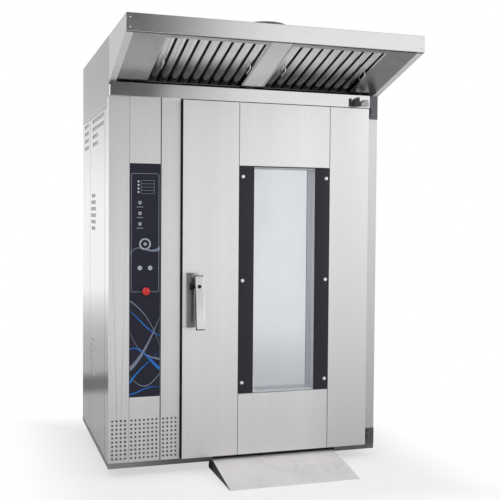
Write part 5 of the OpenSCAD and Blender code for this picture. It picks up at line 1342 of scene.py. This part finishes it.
class OVEN_OT_stage(OvenOperator):
    """Sets the floor, the surround, the lamps and the camera"""

    bl_idname = "oven.stage"
    bl_label = "Stage"

    def pieces(self, scene):
        stage = scene.oven_stage
        scene.view_settings.view_transform = "Standard"
        self.floor()
        self.surround(stage.world_strength)
        self.lamp("key_light", (-3.4, -4.6, 4.6), (0, 0, 1.1), 3.2, stage.key_power)
        self.lamp("fill_light", (4.6, -3.6, 2.6), (0.1, 0, 1.1), 3.0, stage.fill_power)
        self.camera(scene, stage.focal_length)

    def floor(self):
        """Pale floor, white to the camera away from the oven's shadow and to far reflections.

        What the steel mirrors keeps a grey band and a grey field at the rear left.
        """
        size = 14.0
        half_width, half_depth = 0.75, 0.85
        mesh = bpy.data.meshes.new("floor")
        rim = [(-size, -size, 0), (size, -size, 0), (size, size, 0), (-size, size, 0)]
        mesh.from_pydata(rim, [], [(0, 1, 2, 3)])
        m = Coat("Pale floor", Roughness=0.8, Specular_IOR_Level=0.1)
        path = m.add("ShaderNodeLightPath")
        seen = path["Is Camera Ray"]
        mirrored = m.math("MAXIMUM", path["Is Glossy Ray"], path["Is Transmission Ray"])
        x, y = m.split(m.where)[:2]
        rear_left = m.times(m.ramp(x, -0.3, -0.7), m.ramp(y, -0.5, 1.0))
        band = m.times(m.ramp(y, 1.9, 2.3), m.ramp(y, 3.2, 2.6), rear_left, m.ramp(x, -1.9, -1.4))
        pale = m.mix(m.times(band, 0.8), linear((230, 229, 229)), linear((110, 109, 109)))
        m.end(Base_Color=m.mix(seen, pale, linear((252, 252, 252))))
        side = m.math("SUBTRACT", m.math("ABSOLUTE", x), half_width)
        ahead = m.math("SUBTRACT", m.math("ABSOLUTE", y), half_depth)
        away = m.math("MAXIMUM", side, ahead)
        near = m.times(m.ramp(away, 0.0, 0.5, 0.6, 1.0), seen)
        wide = m.times(m.ramp(away, 1.6, 6.5), mirrored, m.rest(band))
        rear_grey = m.times(rear_left, mirrored, m.ramp(y, 13.0, 5.0))
        white = m.mix(rear_grey, WHITE, (0.55, 0.55, 0.55, 1))
        glow = m.add("ShaderNodeEmission", {"Color": white, "Strength": 1.0})[0]
        share = m.math("MAXIMUM", near, wide)
        blend = m.add("ShaderNodeMixShader", {0: share, 1: m.shader.outputs[0], 2: glow})[0]
        m.put(m.tree.nodes["Material Output"], {"Surface": blend})
        mesh.materials.append(m.material)
        place("floor", mesh)

    def surround(self, strength):
        """Studio that is white to the camera and through glass.

        The steel mirrors it with soft grey zones: greyer towards the top, on the
        left half of the front, in a patch low there, and behind.
        """
        world = bpy.data.worlds.new("Studio surround")
        bpy.context.scene.world = world
        world.use_nodes = True
        w = Wiring(world.node_tree)
        x, y, z = w.split(w.add("ShaderNodeTexCoord")["Generated"])
        front = w.ramp(y, 0.05, -0.05)
        left = w.times(w.ramp(x, 0.22, 0.08), front, 0.36)
        patch = w.times(w.ramp(z, 0.06, 0.14), w.ramp(z, 0.55, 0.35), w.ramp(x, 0.28, 0.17))
        patch = w.times(patch, front, 0.93)
        behind = w.times(w.ramp(z, 0.0, 0.15), w.rest(front), 0.35)
        level = w.ramp(z, 0.30, 0.75, 1.0, 0.62)
        level = w.times(level, w.rest(left), w.rest(patch), w.rest(behind))
        shade = w.mix(level, BLACK, (1.0, 0.995, 1.0, 1))
        path = w.add("ShaderNodeLightPath")
        plain = w.math("MAXIMUM", path["Is Camera Ray"], path["Is Transmission Ray"])
        values = {"Color": w.mix(plain, shade, WHITE), "Strength": w.blend(plain, strength, 1.0)}
        w.put(world.node_tree.nodes["Background"], values)

    def lamp(self, name, spot, target, size, power):
        data = bpy.data.lights.new(name, "AREA")
        data.shape, data.size, data.energy = "DISK", size, power
        obj = place(name, data)
        obj.location = spot
        way = Vector(target) - Vector(spot)
        obj.rotation_euler = way.to_track_quat("-Z", "Y").to_euler()

    def camera(self, scene, focal_length):
        """Camera fitted to the photograph: yaw 19.42, pitch -2.05, roll 0.56 degrees."""
        yaw, pitch, roll = (math.radians(v) for v in (19.422, -2.048, 0.555))
        data = bpy.data.cameras.new("camera")
        data.lens, data.sensor_width = focal_length, 36
        data.shift_x, data.shift_y = -51.2 / 500, -2.34 / 500
        obj = place("camera", data)
        turn = Matrix.Rotation(-yaw, 4, "Z") @ Matrix.Rotation(math.pi / 2 + pitch, 4, "X")
        turn = turn @ Matrix.Rotation(roll, 4, "Z")
        obj.matrix_world = Matrix.Translation((-1.3923, -5.1138, 1.3869)) @ turn
        scene.camera = obj


OPERATORS = (
    OVEN_OT_sheet_metal,
    OVEN_OT_rack,
    OVEN_OT_window,
    OVEN_OT_handle,
    OVEN_OT_controls,
    OVEN_OT_fixings,
    OVEN_OT_screens,
    OVEN_OT_stage,
)
GROUP_TYPES = {"oven_finish": OvenFinish, "oven_controls": OvenControls, "oven_stage": OvenStage}


class OVEN_PT_panel(bpy.types.Panel):
    """Sidebar panel that lists the settings and the operators"""

    bl_label = "Rotating rack oven"
    bl_idname = "OVEN_PT_panel"
    bl_space_type = "VIEW_3D"
    bl_region_type = "UI"
    bl_category = "Oven"

    def draw(self, context):
        for group in GROUP_TYPES:
            box = self.layout.box()
            settings = getattr(context.scene, group)
            for key in settings.__annotations__:
                box.prop(settings, key)
        for operator in OPERATORS:
            self.layout.operator(operator.bl_idname)


def register():
    for kind in (*GROUP_TYPES.values(), *OPERATORS, OVEN_PT_panel):
        bpy.utils.register_class(kind)
    for name, kind in GROUP_TYPES.items():
        setattr(bpy.types.Scene, name, bpy.props.PointerProperty(type=kind))


def unregister():
    for name in GROUP_TYPES:
        delattr(bpy.types.Scene, name)
    for kind in (OVEN_PT_panel, *reversed(OPERATORS), *GROUP_TYPES.values()):
        bpy.utils.unregister_class(kind)


def main():
    register()
    for operator in OPERATORS:
        family, action = operator.bl_idname.split(".")
        getattr(getattr(bpy.ops, family), action)()


if __name__ == "__main__":
    main()
